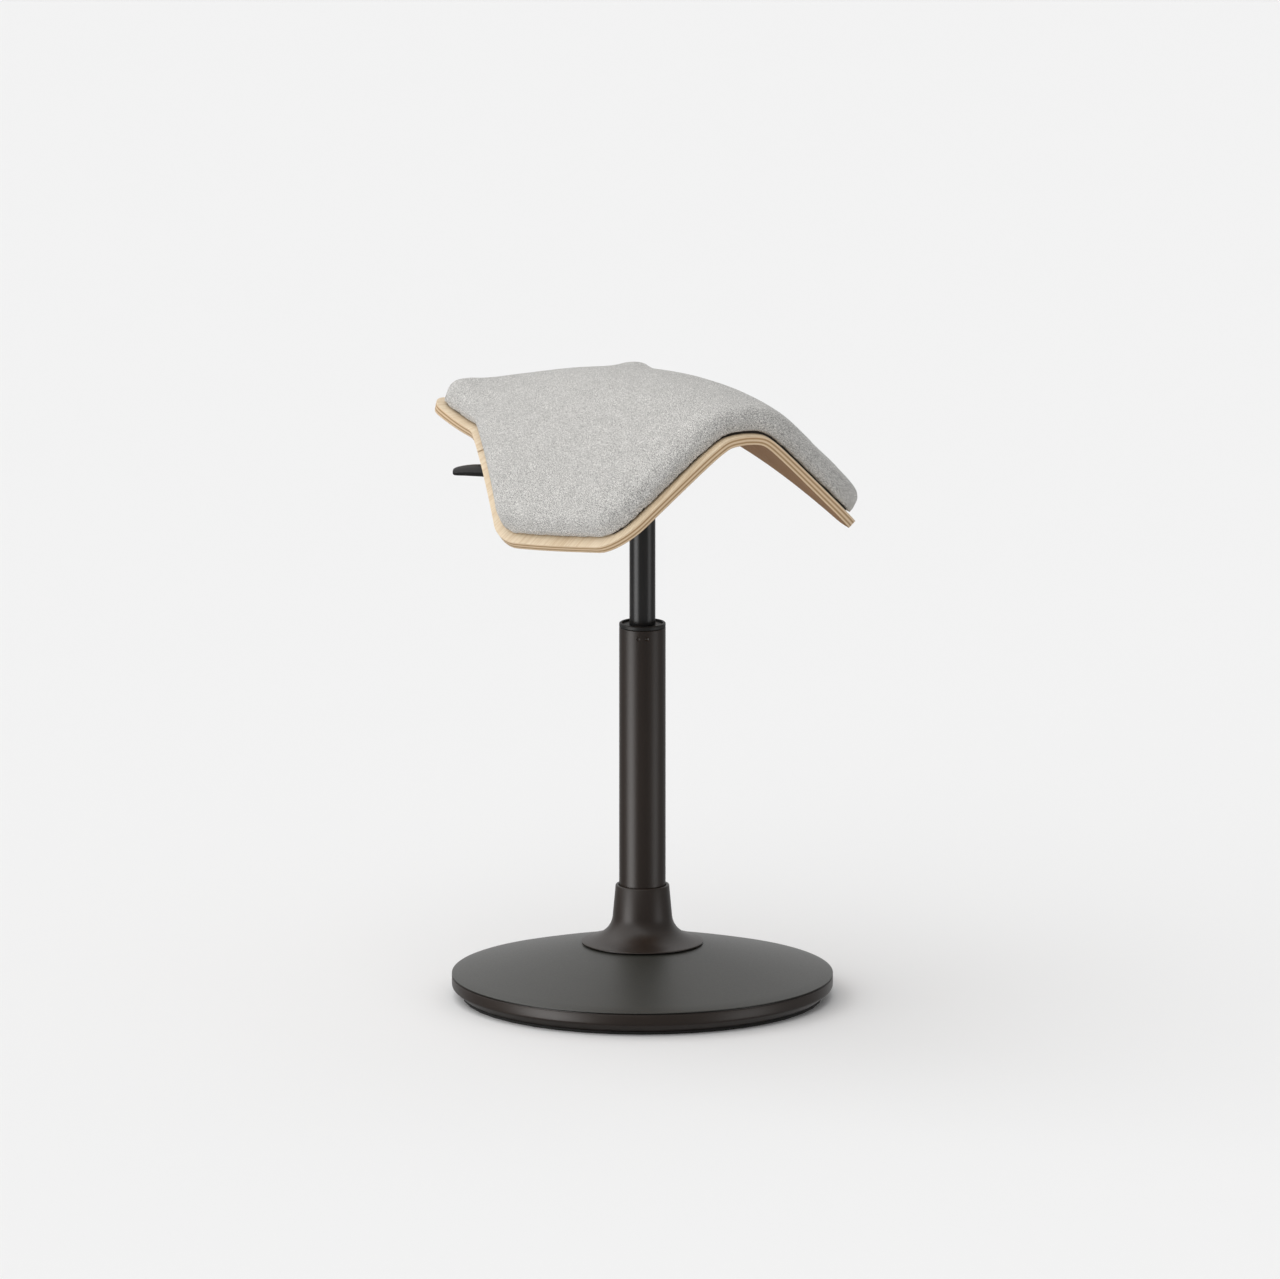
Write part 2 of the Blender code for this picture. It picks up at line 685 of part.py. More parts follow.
def build_hub(axis):
    flange_top = HUB_BOTTOM + HUB_FLANGE
    hub_top = HUB_BOTTOM + HUB_HEIGHT
    outer = COLUMN_RADIUS + FIT + HUB_WALL
    hub = turned(
        "hub_socket",
        [
            (outer, hub_top),
            (outer, flange_top),
            (HUB_FLANGE_RADIUS, flange_top),
            (HUB_FLANGE_RADIUS, HUB_BOTTOM),
            (column_radius(HUB_BOTTOM) + FIT, HUB_BOTTOM),
            (column_radius(TUBE_BOTTOM) + FIT, TUBE_BOTTOM),
            (column_radius(hub_top) + FIT, hub_top),
        ],
        "ballast_steel",
        axis,
        steps=COLUMN_STEPS,
    )
    holes = bmesh.new()
    bolt_length = HUB_FLANGE + FIT + 0.8 * BALLAST_THICKNESS
    upside_down = Matrix.Rotation(math.pi, 3, "X").to_quaternion()
    for i, place in enumerate(around(4, HUB_BOLT_CIRCLE, flange_top + FIT), 1):
        turned(
            f"hub_bolt_{i}",
            headed_pin(HUB_BOLT_RADIUS, bolt_length, HUB_BOLT_HEAD_RADIUS, HUB_BOLT_HEAD),
            "zinc_steel",
            axis,
            place,
            upside_down,
            FASTENER_STEPS,
        )
        add_cone(holes, place, HUB_BOLT_RADIUS + FIT, 2 * HUB_FLANGE)
    combine(hub, add_cutter("hub_bolt_holes", holes))

    neck = Vector((COLLAR_NECK_RADIUS, COLLAR_BOTTOM + COLLAR_NECK_HEIGHT))
    elbow = Vector((COLLAR_NECK_RADIUS + COLLAR_EDGE, COLLAR_BOTTOM + COLLAR_FLARE_LIFT))
    rim = Vector((COLLAR_FLANGE_RADIUS, COLLAR_BOTTOM + COLLAR_EDGE))
    collar_top = COLLAR_BOTTOM + COLLAR_HEIGHT
    flare_steps = 2 * ARC_STEPS
    flare = []
    for i in range(flare_steps + 1):
        share = i / flare_steps
        flare.append((1 - share) ** 2 * neck + 2 * share * (1 - share) * elbow + share**2 * rim)
    outer_side = [
        (COLLAR_TOP_RADIUS - COLLAR_EDGE, collar_top),
        (COLLAR_TOP_RADIUS, collar_top - COLLAR_EDGE),
        *(tuple(point) for point in flare),
        (COLLAR_FLANGE_RADIUS, cover_height(COLLAR_FLANGE_RADIUS) + FIT),
    ]
    flare_inside = [(point.x, point.y - COLLAR_WALL) for point in reversed(flare[2:-1])]
    lip_bottom = collar_top - COLLAR_LIP
    inner_side = [
        (COLLAR_FLANGE_RADIUS - COLLAR_WALL, cover_height(COLLAR_FLANGE_RADIUS - COLLAR_WALL) + FIT),
        *flare_inside[1:],
        (COLLAR_NECK_RADIUS - COLLAR_WALL, neck.y - COLLAR_WALL),
        (COLLAR_TOP_RADIUS - COLLAR_WALL, lip_bottom),
        (COLUMN_RADIUS + 2 * FIT, lip_bottom),
        (COLUMN_RADIUS + 2 * FIT, collar_top),
    ]
    turned("hub_collar", outer_side + inner_side, "black_powder_coat", axis, steps=COLUMN_STEPS)


def build_column(axis):
    taper_top = TUBE_BOTTOM + TAPER_LENGTH
    rod_hole = ROD_RADIUS - ROD_STEP + FIT
    turned(
        "column_tube",
        [
            (COLUMN_RADIUS, COLUMN_TOP),
            (COLUMN_RADIUS, taper_top),
            (column_radius(TUBE_BOTTOM), TUBE_BOTTOM),
            (rod_hole, TUBE_BOTTOM),
            (rod_hole, TUBE_FLOOR_TOP),
            (column_radius(TUBE_FLOOR_TOP) - TUBE_WALL, TUBE_FLOOR_TOP),
            (COLUMN_RADIUS - TUBE_WALL, taper_top),
            (COLUMN_RADIUS - TUBE_WALL, COLUMN_TOP),
        ],
        "black_powder_coat",
        axis,
        steps=COLUMN_STEPS,
    )
    head_bottom = COLUMN_TOP + FIT
    head_top = head_bottom + BUSH_HEAD
    sleeve_radius = COLUMN_RADIUS - TUBE_WALL - FIT
    turned(
        "guide_bush",
        [
            (COLUMN_RADIUS - FIT, head_top),
            (COLUMN_RADIUS, head_top - FIT),
            (COLUMN_RADIUS, head_bottom),
            (sleeve_radius, head_bottom),
            (sleeve_radius, COLUMN_TOP - BUSH_LENGTH),
            (CYLINDER_RADIUS + FIT, COLUMN_TOP - BUSH_LENGTH),
            (CYLINDER_RADIUS + FIT, head_top),
        ],
        "black_plastic",
        axis,
        steps=COLUMN_STEPS,
    )
    turned(
        "thrust_washer_lower",
        ring(WASHER_RADIUS, rod_hole, 0, WASHER_THICKNESS),
        "ground_steel",
        axis,
        (0, 0, LOWER_WASHER),
    )


def build_spindle(axis):
    rod_hole = ROD_RADIUS - ROD_STEP + FIT
    turned(
        "thrust_washer_upper",
        ring(WASHER_RADIUS, rod_hole, 0, WASHER_THICKNESS),
        "ground_steel",
        axis,
        (0, 0, UPPER_WASHER),
    )
    cage = turned(
        "ball_cage",
        ring(
            BALL_CIRCLE + CAGE_WIDTH / 2,
            BALL_CIRCLE - CAGE_WIDTH / 2,
            -CAGE_THICKNESS / 2,
            CAGE_THICKNESS / 2,
        ),
        "brass",
        axis,
        (0, 0, BALL_BOTTOM + BALL_RADIUS),
    )
    balls = bmesh.new()
    for place in around(BALL_COUNT, BALL_CIRCLE, BALL_BOTTOM + BALL_RADIUS):
        bmesh.ops.create_uvsphere(
            balls, u_segments=6, v_segments=4, radius=BALL_RADIUS, matrix=Matrix.Translation(place)
        )
    combine(cage, add_cutter("bearing_balls", balls), "UNION")
    turned(
        "rubber_buffer",
        ring(BUFFER_RADIUS, ROD_RADIUS + FIT, 0, BUFFER_HEIGHT),
        "rubber",
        axis,
        (0, 0, ROD_SHOULDER),
    )
    clip_top = TUBE_BOTTOM - FIT
    clip_bottom = clip_top - CLIP_THICKNESS
    step_radius = ROD_RADIUS - ROD_STEP
    groove_radius = step_radius - CLIP_GROOVE
    piston_top = PISTON_BOTTOM + PISTON_LENGTH
    turned(
        "piston_rod",
        [
            (0, piston_top + ROD_SPIGOT_REACH),
            (ROD_SPIGOT_RADIUS, piston_top + ROD_SPIGOT_REACH),
            (ROD_SPIGOT_RADIUS, PISTON_BOTTOM - FIT),
            (ROD_RADIUS, PISTON_BOTTOM - FIT),
            (ROD_RADIUS, ROD_SHOULDER),
            (step_radius, ROD_SHOULDER),
            (step_radius, clip_top + FIT),
            (groove_radius, clip_top + FIT),
            (groove_radius, clip_bottom - FIT),
            (step_radius, clip_bottom - FIT),
            (step_radius, TUBE_BOTTOM - ROD_TIP_REACH),
            (0, TUBE_BOTTOM - ROD_TIP_REACH),
        ],
        "ground_steel",
        axis,
    )
    bore = CYLINDER_RADIUS - CYLINDER_WALL
    turned(
        "piston",
        ring(bore - PISTON_GAP, ROD_SPIGOT_RADIUS + FIT, 0, PISTON_LENGTH),
        "black_plastic",
        axis,
        (0, 0, PISTON_BOTTOM),
    )
    clip = turned(
        "retaining_clip",
        ring(CLIP_RADIUS, groove_radius + FIT, 0, CLIP_THICKNESS),
        "zinc_steel",
        axis,
        (0, 0, clip_bottom),
    )
    mouth = bmesh.new()
    add_block(
        mouth,
        (0, -CLIP_MOUTH / 2, clip_bottom - CLIP_THICKNESS),
        (2 * CLIP_RADIUS, CLIP_MOUTH / 2, clip_top + CLIP_THICKNESS),
    )
    combine(clip, add_cutter("clip_mouth", mouth))


def build_gas_cylinder(axis):
    bore = CYLINDER_RADIUS - CYLINDER_WALL
    head_bottom = CYLINDER_TOP - CYLINDER_HEAD
    taper_bottom = CYLINDER_TOP - CYLINDER_TAPER_LENGTH
    pin_bottom = CYLINDER_TOP - VALVE_PIN_SHANK
    pin_hole = VALVE_PIN_RADIUS + FIT
    cylinder = turned(
        "gas_cylinder",
        [
            (0, CYLINDER_TOP),
            (cylinder_radius(CYLINDER_TOP), CYLINDER_TOP),
            (CYLINDER_RADIUS, taper_bottom),
            (CYLINDER_RADIUS, CYLINDER_BOTTOM),
            (bore, CYLINDER_BOTTOM),
            (bore, head_bottom),
            (0, head_bottom),
        ],
        "black_cylinder",
        axis,
        steps=COLUMN_STEPS,
    )
    valve_bore = bmesh.new()
    valve_depth = VALVE_PIN_SHANK + VALVE_TRAVEL
    add_cone(valve_bore, (0, 0, CYLINDER_TOP), pin_hole, valve_depth, steps=SMALL_STEPS)
    combine(cylinder, add_cutter("valve_bore", valve_bore))
    turned(
        "rod_guide",
        ring(bore - FIT, ROD_RADIUS + FIT, 0, ROD_GUIDE_LENGTH),
        "black_plastic",
        axis,
        (0, 0, CYLINDER_BOTTOM),
    )
    return pin_bottom


def build_mechanism(axis):
    bolts = four_ways(MECH_BOLT_X, MECH_BOLT_Y)
    upright_holes = bmesh.new()
    insert_holes = bmesh.new()
    head_seat = PLATE_BOTTOM - FIT
    for i, (x, y) in enumerate(bolts, 1):
        middle = insert_middle(x, y)
        turned(
            f"mech_bolt_{i}",
            headed_pin(
                MECH_BOLT_RADIUS,
                middle + INSERT_LENGTH / 4 - head_seat,
                MECH_BOLT_HEAD_RADIUS,
                MECH_BOLT_HEAD,
            ),
            "zinc_steel",
            axis,
            (x, y, head_seat),
            steps=FASTENER_STEPS,
        )
        turned(
            f"threaded_insert_{i}",
            ring(INSERT_RADIUS, MECH_BOLT_RADIUS + FIT, -INSERT_LENGTH / 2, INSERT_LENGTH / 2),
            "brass",
            axis,
            (x, y, middle),
            steps=FASTENER_STEPS,
        )
        add_cone(upright_holes, (x, y, PLATE_TOP), MECH_BOLT_RADIUS + FIT, BLOCK_LENGTH / 2)
        add_cone(insert_holes, (x, y, middle), INSERT_RADIUS + FIT, 2 * PLY_THICKNESS)
    bolt_holes = add_cutter("mech_bolt_holes", upright_holes)

    plate_solid = prism(box_corners(PLATE_WIDTH, PLATE_LENGTH, PLATE_CORNER), PLATE_BOTTOM, PLATE_TOP)
    plate = add_piece("mech_plate", mesh_from(plate_solid, "mech_plate"), "black_powder_coat", axis)
    combine(plate, bolt_holes)

    block_top = max(seat_height(0, -BLOCK_LENGTH / 2), seat_height(0, BLOCK_LENGTH / 2), RIDGE_MIDDLE)
    block_solid = prism(box_corners(BLOCK_WIDTH, BLOCK_LENGTH, BLOCK_CORNER), PLATE_TOP + FIT, block_top)
    block = add_piece("saddle_block", mesh_from(block_solid, "saddle_block"), "black_plastic", axis)
    combine(block, bolt_holes)

    outer_y = HOUSING_WIDTH / 2
    inner_y = outer_y - HOUSING_WALL
    bm = bmesh.new()
    add_block(
        bm,
        (HOUSING_OPEN_END, -outer_y, HOUSING_BOTTOM),
        (HOUSING_CLOSED_END, outer_y, HOUSING_BOTTOM + HOUSING_HEIGHT),
    )
    housing = add_piece("mech_housing", mesh_from(bm, "mech_housing"), "black_powder_coat", axis)
    room = bmesh.new()
    add_block(
        room,
        (2 * HOUSING_OPEN_END, -inner_y, HOUSING_BOTTOM + HOUSING_WALL),
        (HOUSING_CLOSED_END - HOUSING_WALL, inner_y, HOUSING_BOTTOM + 2 * HOUSING_HEIGHT),
    )
    combine(housing, add_cutter("housing_room", room))
    bores = bmesh.new()
    add_cone(bores, (0, 0, HOUSING_BOTTOM), SOCKET_RADIUS + FIT, 2 * HOUSING_WALL, steps=COLUMN_STEPS)
    crosswise = Matrix.Rotation(math.pi / 2, 3, "X").to_quaternion()
    pivot = (PIVOT_X, 0, PIVOT_Z)
    add_cone(bores, pivot, PIVOT_PIN_RADIUS + FIT, HOUSING_WIDTH, turn=crosswise, steps=SMALL_STEPS)
    combine(housing, add_cutter("housing_bores", bores))

    socket_top = SOCKET_SEAT + SOCKET_FLANGE
    socket_bottom = socket_top - SOCKET_LENGTH
    turned(
        "taper_socket",
        [
            (SOCKET_FLANGE_RADIUS, socket_top),
            (SOCKET_FLANGE_RADIUS, SOCKET_SEAT),
            (SOCKET_RADIUS, SOCKET_SEAT),
            (SOCKET_RADIUS, socket_bottom),
            (cylinder_radius(socket_bottom) + FIT, socket_bottom),
            (cylinder_radius(socket_top) + FIT, socket_top),
        ],
        "black_powder_coat",
        axis,
        steps=COLUMN_STEPS,
    )
    pin_half = HOUSING_WIDTH / 2 + PIVOT_PIN_END
    turned(
        "lever_pin",
        [(0, pin_half), (PIVOT_PIN_RADIUS, pin_half), (PIVOT_PIN_RADIUS, -pin_half), (0, -pin_half)],
        "zinc_steel",
        axis,
        pivot,
        crosswise,
    )
    for i, side in enumerate((-1, 1), 1):
        turned(
            f"lever_pin_ring_{i}",
            ring(PIVOT_RING_RADIUS, PIVOT_PIN_RADIUS + FIT, -PIVOT_RING / 2, PIVOT_RING / 2),
            "zinc_steel",
            axis,
            (PIVOT_X, side * (outer_y + FIT + PIVOT_RING / 2), PIVOT_Z),
            crosswise,
        )
    return block, add_cutter("insert_holes", insert_holes)


def lever_path():
    """Points of the lever's rod from its barrel to the paddle, as a cubic curve about the pivot."""
    heading = Vector((math.cos(LEVER_HEADING), math.sin(LEVER_HEADING), 0))
    end = heading * (LEVER_REACH - PADDLE_LENGTH + PADDLE_GRIP) - Vector((0, 0, LEVER_DROP))
    start = Vector((-BARREL_RADIUS / 2, 0, 0))
    leaving = start - Vector((LEVER_START_RUN, 0, 0))
    arriving = end - heading * LEVER_END_RUN
    points = []
    for i in range(LEVER_POINTS):
        share = i / (LEVER_POINTS - 1)
        rest = 1 - share
        points.append(
            rest**3 * start + 3 * rest**2 * share * leaving + 3 * rest * share**2 * arriving + share**3 * end
        )
    return points


def rod_mesh(name, points, radius):
    """A round bar along the points, as a closed mesh."""
    curve = bpy.data.curves.new(name, "CURVE")
    curve.dimensions = "3D"
    curve.bevel_depth = radius
    curve.bevel_resolution = 2
    curve.use_fill_caps = True
    spline = curve.splines.new("POLY")
    spline.points.add(len(points) - 1)
    for place, point in zip(points, spline.points):
        point.co = (*place, 1)
    guide = bpy.data.objects.new(name + "_guide", curve)
    bpy.context.scene.collection.objects.link(guide)
    graph = bpy.context.evaluated_depsgraph_get()
    mesh = bpy.data.meshes.new_from_object(guide.evaluated_get(graph))
    bpy.data.objects.remove(guide)
    bm = bmesh.new()
    bm.from_mesh(mesh)
    bmesh.ops.remove_doubles(bm, verts=bm.verts[:], dist=0.00001)
    bmesh.ops.recalc_face_normals(bm, faces=bm.faces[:])
    return bm


def build_lever(axis):
    pivot = Vector((PIVOT_X, 0, PIVOT_Z))
    barrel_half = HOUSING_WIDTH / 2 - HOUSING_WALL - 2 * FIT
    crosswise = Matrix.Rotation(math.pi / 2, 3, "X").to_quaternion()
    bm = bmesh.new()
    add_cone(bm, (0, 0, 0), BARREL_RADIUS, barrel_half, turn=crosswise, steps=SMALL_STEPS)
    lever = add_piece("lever_arm", mesh_from(bm, "lever_arm"), "black_powder_coat", axis, pivot)
    tongue = bmesh.new()
    half = TONGUE_THICKNESS / 2
    add_block(tongue, (0, -TONGUE_WIDTH / 2, -half), (-PIVOT_X + TONGUE_OVERRUN, TONGUE_WIDTH / 2, half))
    tongue_helper = add_cutter("lever_tongue", tongue)
    tongue_helper.location = pivot
    combine(lever, tongue_helper, "UNION")
    path = lever_path()
    rod_helper = add_cutter("lever_rod", rod_mesh("lever_rod", path, LEVER_ROD_RADIUS))
    rod_helper.location = pivot
    combine(lever, rod_helper, "UNION")
    bore = bmesh.new()
    add_cone(bore, pivot, PIVOT_PIN_RADIUS + FIT, 2 * barrel_half, turn=crosswise, steps=SMALL_STEPS)
    combine(lever, add_cutter("lever_bore", bore))

    handle = bmesh.new()
    bmesh.ops.create_cube(handle, size=1)
    lengthwise = [edge for edge in handle.edges if abs((edge.verts[0].co - edge.verts[1].co).x) > 0.5]
    bmesh.ops.subdivide_edges(handle, edges=lengthwise, cuts=5, use_grid_fill=True)
    for vert in handle.verts:
        share = vert.co.x + 0.5
        vert.co.x = share * PADDLE_LENGTH
        vert.co.y *= PADDLE_WIDTH * (1 - 0.25 * share**3)
        vert.co.z *= PADDLE_HEIGHT * (1.12 - 0.62 * share**3)
        vert.co.z -= PADDLE_TIP_DROP * share**3
    paddle_turn = Matrix.Rotation(LEVER_HEADING, 3, "Z").to_quaternion()
    root = Vector((LEVER_REACH - PADDLE_LENGTH, 0, -LEVER_DROP))
    root.rotate(paddle_turn)
    paddle = add_piece(
        "lever_paddle", mesh_from(handle, "lever_paddle"), "black_plastic", axis, pivot + root, paddle_turn
    )
    rounding = paddle.modifiers.new("rounding", "SUBSURF")
    rounding.levels = 1
    rounding.render_levels = 1
    grip = rod_mesh("paddle_bore", path + [2 * path[-1] - path[-2]], LEVER_ROD_RADIUS + FIT)
    grip_helper = add_cutter("paddle_bore", grip)
    grip_helper.location = pivot
    combine(paddle, grip_helper)


def build_valve_pin(axis, pin_bottom):
    height = VALVE_PIN_TOP - pin_bottom
    turned(
        "release_pin",
        [
            (0, height),
            (VALVE_PIN_NOSE_RADIUS, height),
            (VALVE_PIN_RADIUS, height - VALVE_PIN_NOSE),
            (VALVE_PIN_RADIUS, 0),
            (0, 0),
        ],
        "ground_steel",
        axis,
        (0, 0, pin_bottom),
    )


def waist_edge_x(y):
    """The outline's half width on the straight edge between the waist and the wing's rear corner."""
    share = (WAIST_Y - y) / (WAIST_Y - WING_REAR_Y)
    return WAIST_X + share * (WING_REAR_X - WAIST_X)


def build_seat(axis, block, insert_holes):
    panel_inset = PAD_MARGIN + PAD_EDGE_RADIUS
    panel = flat_panel(panel_inset)
    foot = FOAM_EDGE_RADIUS - PAD_TUCK

    def layer(name, profile, finish_name):
        return add_piece(name, seat_layer(name, profile, panel), finish_name, axis)

    shell = layer(
        "seat_shell",
        [
            (0, -PLY_THICKNESS),
            (foot, -PLY_THICKNESS),
            (panel_inset, -PLY_THICKNESS),
            (panel_inset, 0),
            (foot, 0),
            (0, 0),
        ],
        "oak_ply",
    )
    board_top = FIT + BOARD_THICKNESS
    board = layer("pad_board", [(0, FIT), (foot, FIT), (foot, board_top), (0, board_top)], "birch_board")
    layer(
        "foam_core",
        [(0, FOAM_BOTTOM), (foot, FOAM_BOTTOM), *edge_arc(FOAM_EDGE_RADIUS, FOAM_TOP), (0, FOAM_TOP)],
        "foam",
    )
    inner_radius = FOAM_EDGE_RADIUS + FIT
    inner_top = FOAM_TOP + FIT
    layer(
        "fabric_cover",
        [
            (0, inner_top),
            *reversed(edge_arc(inner_radius, inner_top)),
            (inner_radius - PAD_TUCK, FIT),
            (PAD_EDGE_RADIUS - PAD_TUCK, FIT),
            *edge_arc(PAD_EDGE_RADIUS, PAD_THICKNESS),
            (0, PAD_THICKNESS),
        ],
        "grey_felted_fabric",
    )

    under = -PLY_THICKNESS - FIT
    above_block = [(0, under), (foot, under), (foot, PAD_THICKNESS), (0, PAD_THICKNESS)]
    bm = bmesh.new()
    bm.from_mesh(seat_layer("shell_underside", above_block, panel))
    combine(block, add_cutter("shell_underside", bm))

    screw_holes = bmesh.new()
    pad_insert_holes = bmesh.new()
    head_lift = -PLY_THICKNESS - FIT
    insert_half = BOARD_THICKNESS / 2 - 2 * FIT
    screw_length = PLY_THICKNESS + BOARD_THICKNESS
    for i, ((x, y), turn) in enumerate(pad_screw_places(), 1):
        turned(
            f"pad_screw_{i}",
            headed_pin(PAD_SCREW_RADIUS, screw_length, PAD_SCREW_HEAD_RADIUS, PAD_SCREW_HEAD),
            "zinc_steel",
            axis,
            on_seat(x, y, head_lift - FIT),
            turn,
            FASTENER_STEPS,
        )
        insert_place = on_seat(x, y, FIT + BOARD_THICKNESS / 2)
        turned(
            f"pad_insert_{i}",
            ring(PAD_INSERT_RADIUS, PAD_SCREW_RADIUS + FIT, -insert_half, insert_half),
            "zinc_steel",
            axis,
            insert_place,
            turn,
            FASTENER_STEPS,
        )
        mid_ply = on_seat(x, y, -PLY_THICKNESS / 2)
        add_cone(screw_holes, mid_ply, PAD_SCREW_RADIUS + FIT, PLY_THICKNESS, turn=turn)
        add_cone(pad_insert_holes, insert_place, PAD_INSERT_RADIUS + FIT, BOARD_THICKNESS, turn=turn)
    combine(shell, add_cutter("pad_screw_holes", screw_holes))
    combine(shell, insert_holes)
    combine(board, add_cutter("pad_insert_holes", pad_insert_holes))

    slits = bmesh.new()
    edge_turn = math.atan2(WING_REAR_X - WAIST_X, WAIST_Y - WING_REAR_Y)
    for side in (-1, 1):
        edge_x = waist_edge_x(SLIT_Y)
        matrix = Matrix.Translation((side * edge_x, SLIT_Y, seat_height(edge_x, SLIT_Y)))
        matrix = matrix @ Matrix.Rotation(side * edge_turn, 4, "Z")
        matrix = matrix @ Matrix.Diagonal((2 * SLIT_LENGTH, SLIT_WIDTH, 6 * PLY_THICKNESS, 1))
        bmesh.ops.create_cube(slits, size=1, matrix=matrix)
    combine(shell, add_cutter("relief_slits", slits))


def main():
    for obj in list(bpy.data.objects):
        bpy.data.objects.remove(obj)
    add_collection("saddle_stool")
    add_collection("cutters")
    base_axis = add_empty("base_axis", (0, 0, 0))
    swivel_axis = add_empty("swivel_axis", (0, 0, UPPER_WASHER), base_axis)
    height_axis = add_empty("height_axis", (0, 0, CYLINDER_BOTTOM), swivel_axis)
    lever_axis = add_empty("lever_axis", (PIVOT_X, 0, PIVOT_Z), height_axis)
    valve_axis = add_empty("valve_axis", (0, 0, CYLINDER_TOP), height_axis)
    build_base(base_axis)
    build_hub(base_axis)
    build_column(base_axis)
    build_spindle(swivel_axis)
    pin_bottom = build_gas_cylinder(height_axis)
    block, insert_holes = build_mechanism(height_axis)
    build_seat(height_axis, block, insert_holes)
    build_lever(lever_axis)
    build_valve_pin(valve_axis, pin_bottom)


if __name__ == "__main__":
    main()
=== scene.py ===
import math

import bmesh
import bpy
import numpy as np
from mathutils import Matrix, Vector


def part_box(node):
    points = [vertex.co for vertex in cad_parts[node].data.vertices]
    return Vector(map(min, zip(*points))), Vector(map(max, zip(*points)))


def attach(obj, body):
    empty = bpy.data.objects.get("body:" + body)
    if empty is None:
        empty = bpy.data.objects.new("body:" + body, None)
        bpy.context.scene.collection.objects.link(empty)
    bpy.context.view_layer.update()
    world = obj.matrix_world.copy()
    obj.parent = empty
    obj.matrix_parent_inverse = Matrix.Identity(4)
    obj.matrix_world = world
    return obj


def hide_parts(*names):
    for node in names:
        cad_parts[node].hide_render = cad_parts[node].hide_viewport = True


bl_info = {
    "name": "Saddle Stool Looks",
    "version": (1, 0, 0),
    "blender": (4, 5, 0),
    "location": "View3D > Sidebar > Saddle Stool",
    "description": "Plywood, fabric, powder coat and a studio stage for the saddle stool",
    "category": "Object",
}

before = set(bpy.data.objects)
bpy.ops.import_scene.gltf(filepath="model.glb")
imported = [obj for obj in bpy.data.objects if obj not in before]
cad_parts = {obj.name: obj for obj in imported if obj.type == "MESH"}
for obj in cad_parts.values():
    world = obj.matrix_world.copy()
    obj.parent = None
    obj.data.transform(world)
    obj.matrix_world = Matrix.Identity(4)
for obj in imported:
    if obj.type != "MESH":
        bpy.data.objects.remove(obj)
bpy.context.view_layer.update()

# Clearance between pieces that seat on or in each other
FIT = 0.0003
# Distance from the ridge within which the seat bends
BEND_ZONE = 0.066
# Spacing of the cuts that let the pad bend
PAD_GRID = 0.012


def linear(code):
    """The linear colour of an sRGB hex value."""
    shares = [int(code[i : i + 2], 16) / 255 for i in (1, 3, 5)]
    bright = [share / 12.92 if share <= 0.04045 else ((share + 0.055) / 1.055) ** 2.4 for share in shares]
    return (*bright, 1.0)


def length(name, description, default):
    return bpy.props.FloatProperty(
        name=name, description=description, default=default, unit="LENGTH", precision=4
    )


def lengths(name, description, default):
    return bpy.props.FloatVectorProperty(
        name=name, description=description, default=default, size=len(default), unit="LENGTH", precision=4
    )


def angle(name, description, degrees):
    return bpy.props.FloatProperty(
        name=name, description=description, default=math.radians(degrees), subtype="ANGLE"
    )


def number(name, description, default):
    return bpy.props.FloatProperty(name=name, description=description, default=default, precision=3)


def numbers(name, description, default):
    return bpy.props.FloatVectorProperty(
        name=name, description=description, default=default, size=len(default)
    )


def colour(name, description, code):
    return bpy.props.FloatVectorProperty(
        name=name, description=description, default=linear(code), size=4, subtype="COLOR", min=0, max=1
    )


class SaddleForm(bpy.types.PropertyGroup):
    """The plywood's top face, by three sections, and the corners of its outline on the right side."""

    front: length("Front", "From the column's axis to the front edge", 0.255)
    rear: length("Rear", "From the column's axis to the rear edge", 0.258)
    ridge: lengths("Ridge", "Height of the ridge at the rear, middle and front", (0.607, 0.657, 0.663))
    flat: lengths("Flat", "Half width of the flat ridge at the rear, middle and front", (0.032, 0.045, 0.025))
    slope: numbers("Slope", "Fall of the wings at the rear, middle and front", (-0.10, 0.72, 0.99))
    bend_rear: length("Rear Bend", "Softness of the bend into the wing at the rear", 0.037)
    bend_front: length("Front Bend", "Softness of the bend into the wing at the front", 0.011)
    nose: lengths("Nose", "Corner x, y and rounding", (0.031, -0.255, 0.020))
    wing_front: lengths("Wing Front", "Corner x, y and rounding", (0.1455, -0.2298, 0.052))
    wing_rear: lengths("Wing Rear", "Corner x, y and rounding", (0.2028, -0.0605, 0.070))
    waist: lengths("Waist", "Corner x, y and rounding", (0.1325, 0.149, 0.045))
    rear_corner: lengths("Rear Corner", "Corner x, y and rounding", (0.1315, 0.258, 0.029))
    least_rounding: length("Least Rounding", "Smallest rounding of a corner that is drawn in", 0.006)
    corner_rise: lengths("Corner Rise", "How far the rear corners turn up, and from which y", (0.008, 0.160))


class PlywoodSettings(bpy.types.PropertyGroup):
    """The moulded shell and its veneers."""

    thickness: length("Thickness", "Thickness of the moulded plywood", 0.010)
    edge: length("Edge", "Sanded rounding along the edges", 0.0009)
    grid: length("Grid", "Spacing of the cuts that let the panel bend", 0.0075)
    slit_place: length("Slit Place", "Distance of the relief slits behind the axis", 0.095)
    slit_length: length("Slit Length", "How far a relief slit runs in from the edge", 0.0105)
    slit_width: length("Slit Width", "Width of a relief slit", 0.0036)
    plies: bpy.props.IntProperty(name="Plies", description="Number of veneers drawn", default=5, min=3)
    veneer: colour("Veneer", "Lacquered oak veneer", "#e6d4b8")
    grain: colour("Grain", "Darker latewood of the veneer", "#ceb491")
    long_ply: colour("Long Ply", "Long grain of the plies on the edge", "#dcc3a2")
    cross_ply: colour("Cross Ply", "End grain of the cross plies on the edge", "#a98860")
    # Painted shade: the underside gets this darker brown to stand for the shade under the seat
    shaded_underside: colour("Shaded Underside", "Underside veneer painted darker as painted shade", "#9d744a")


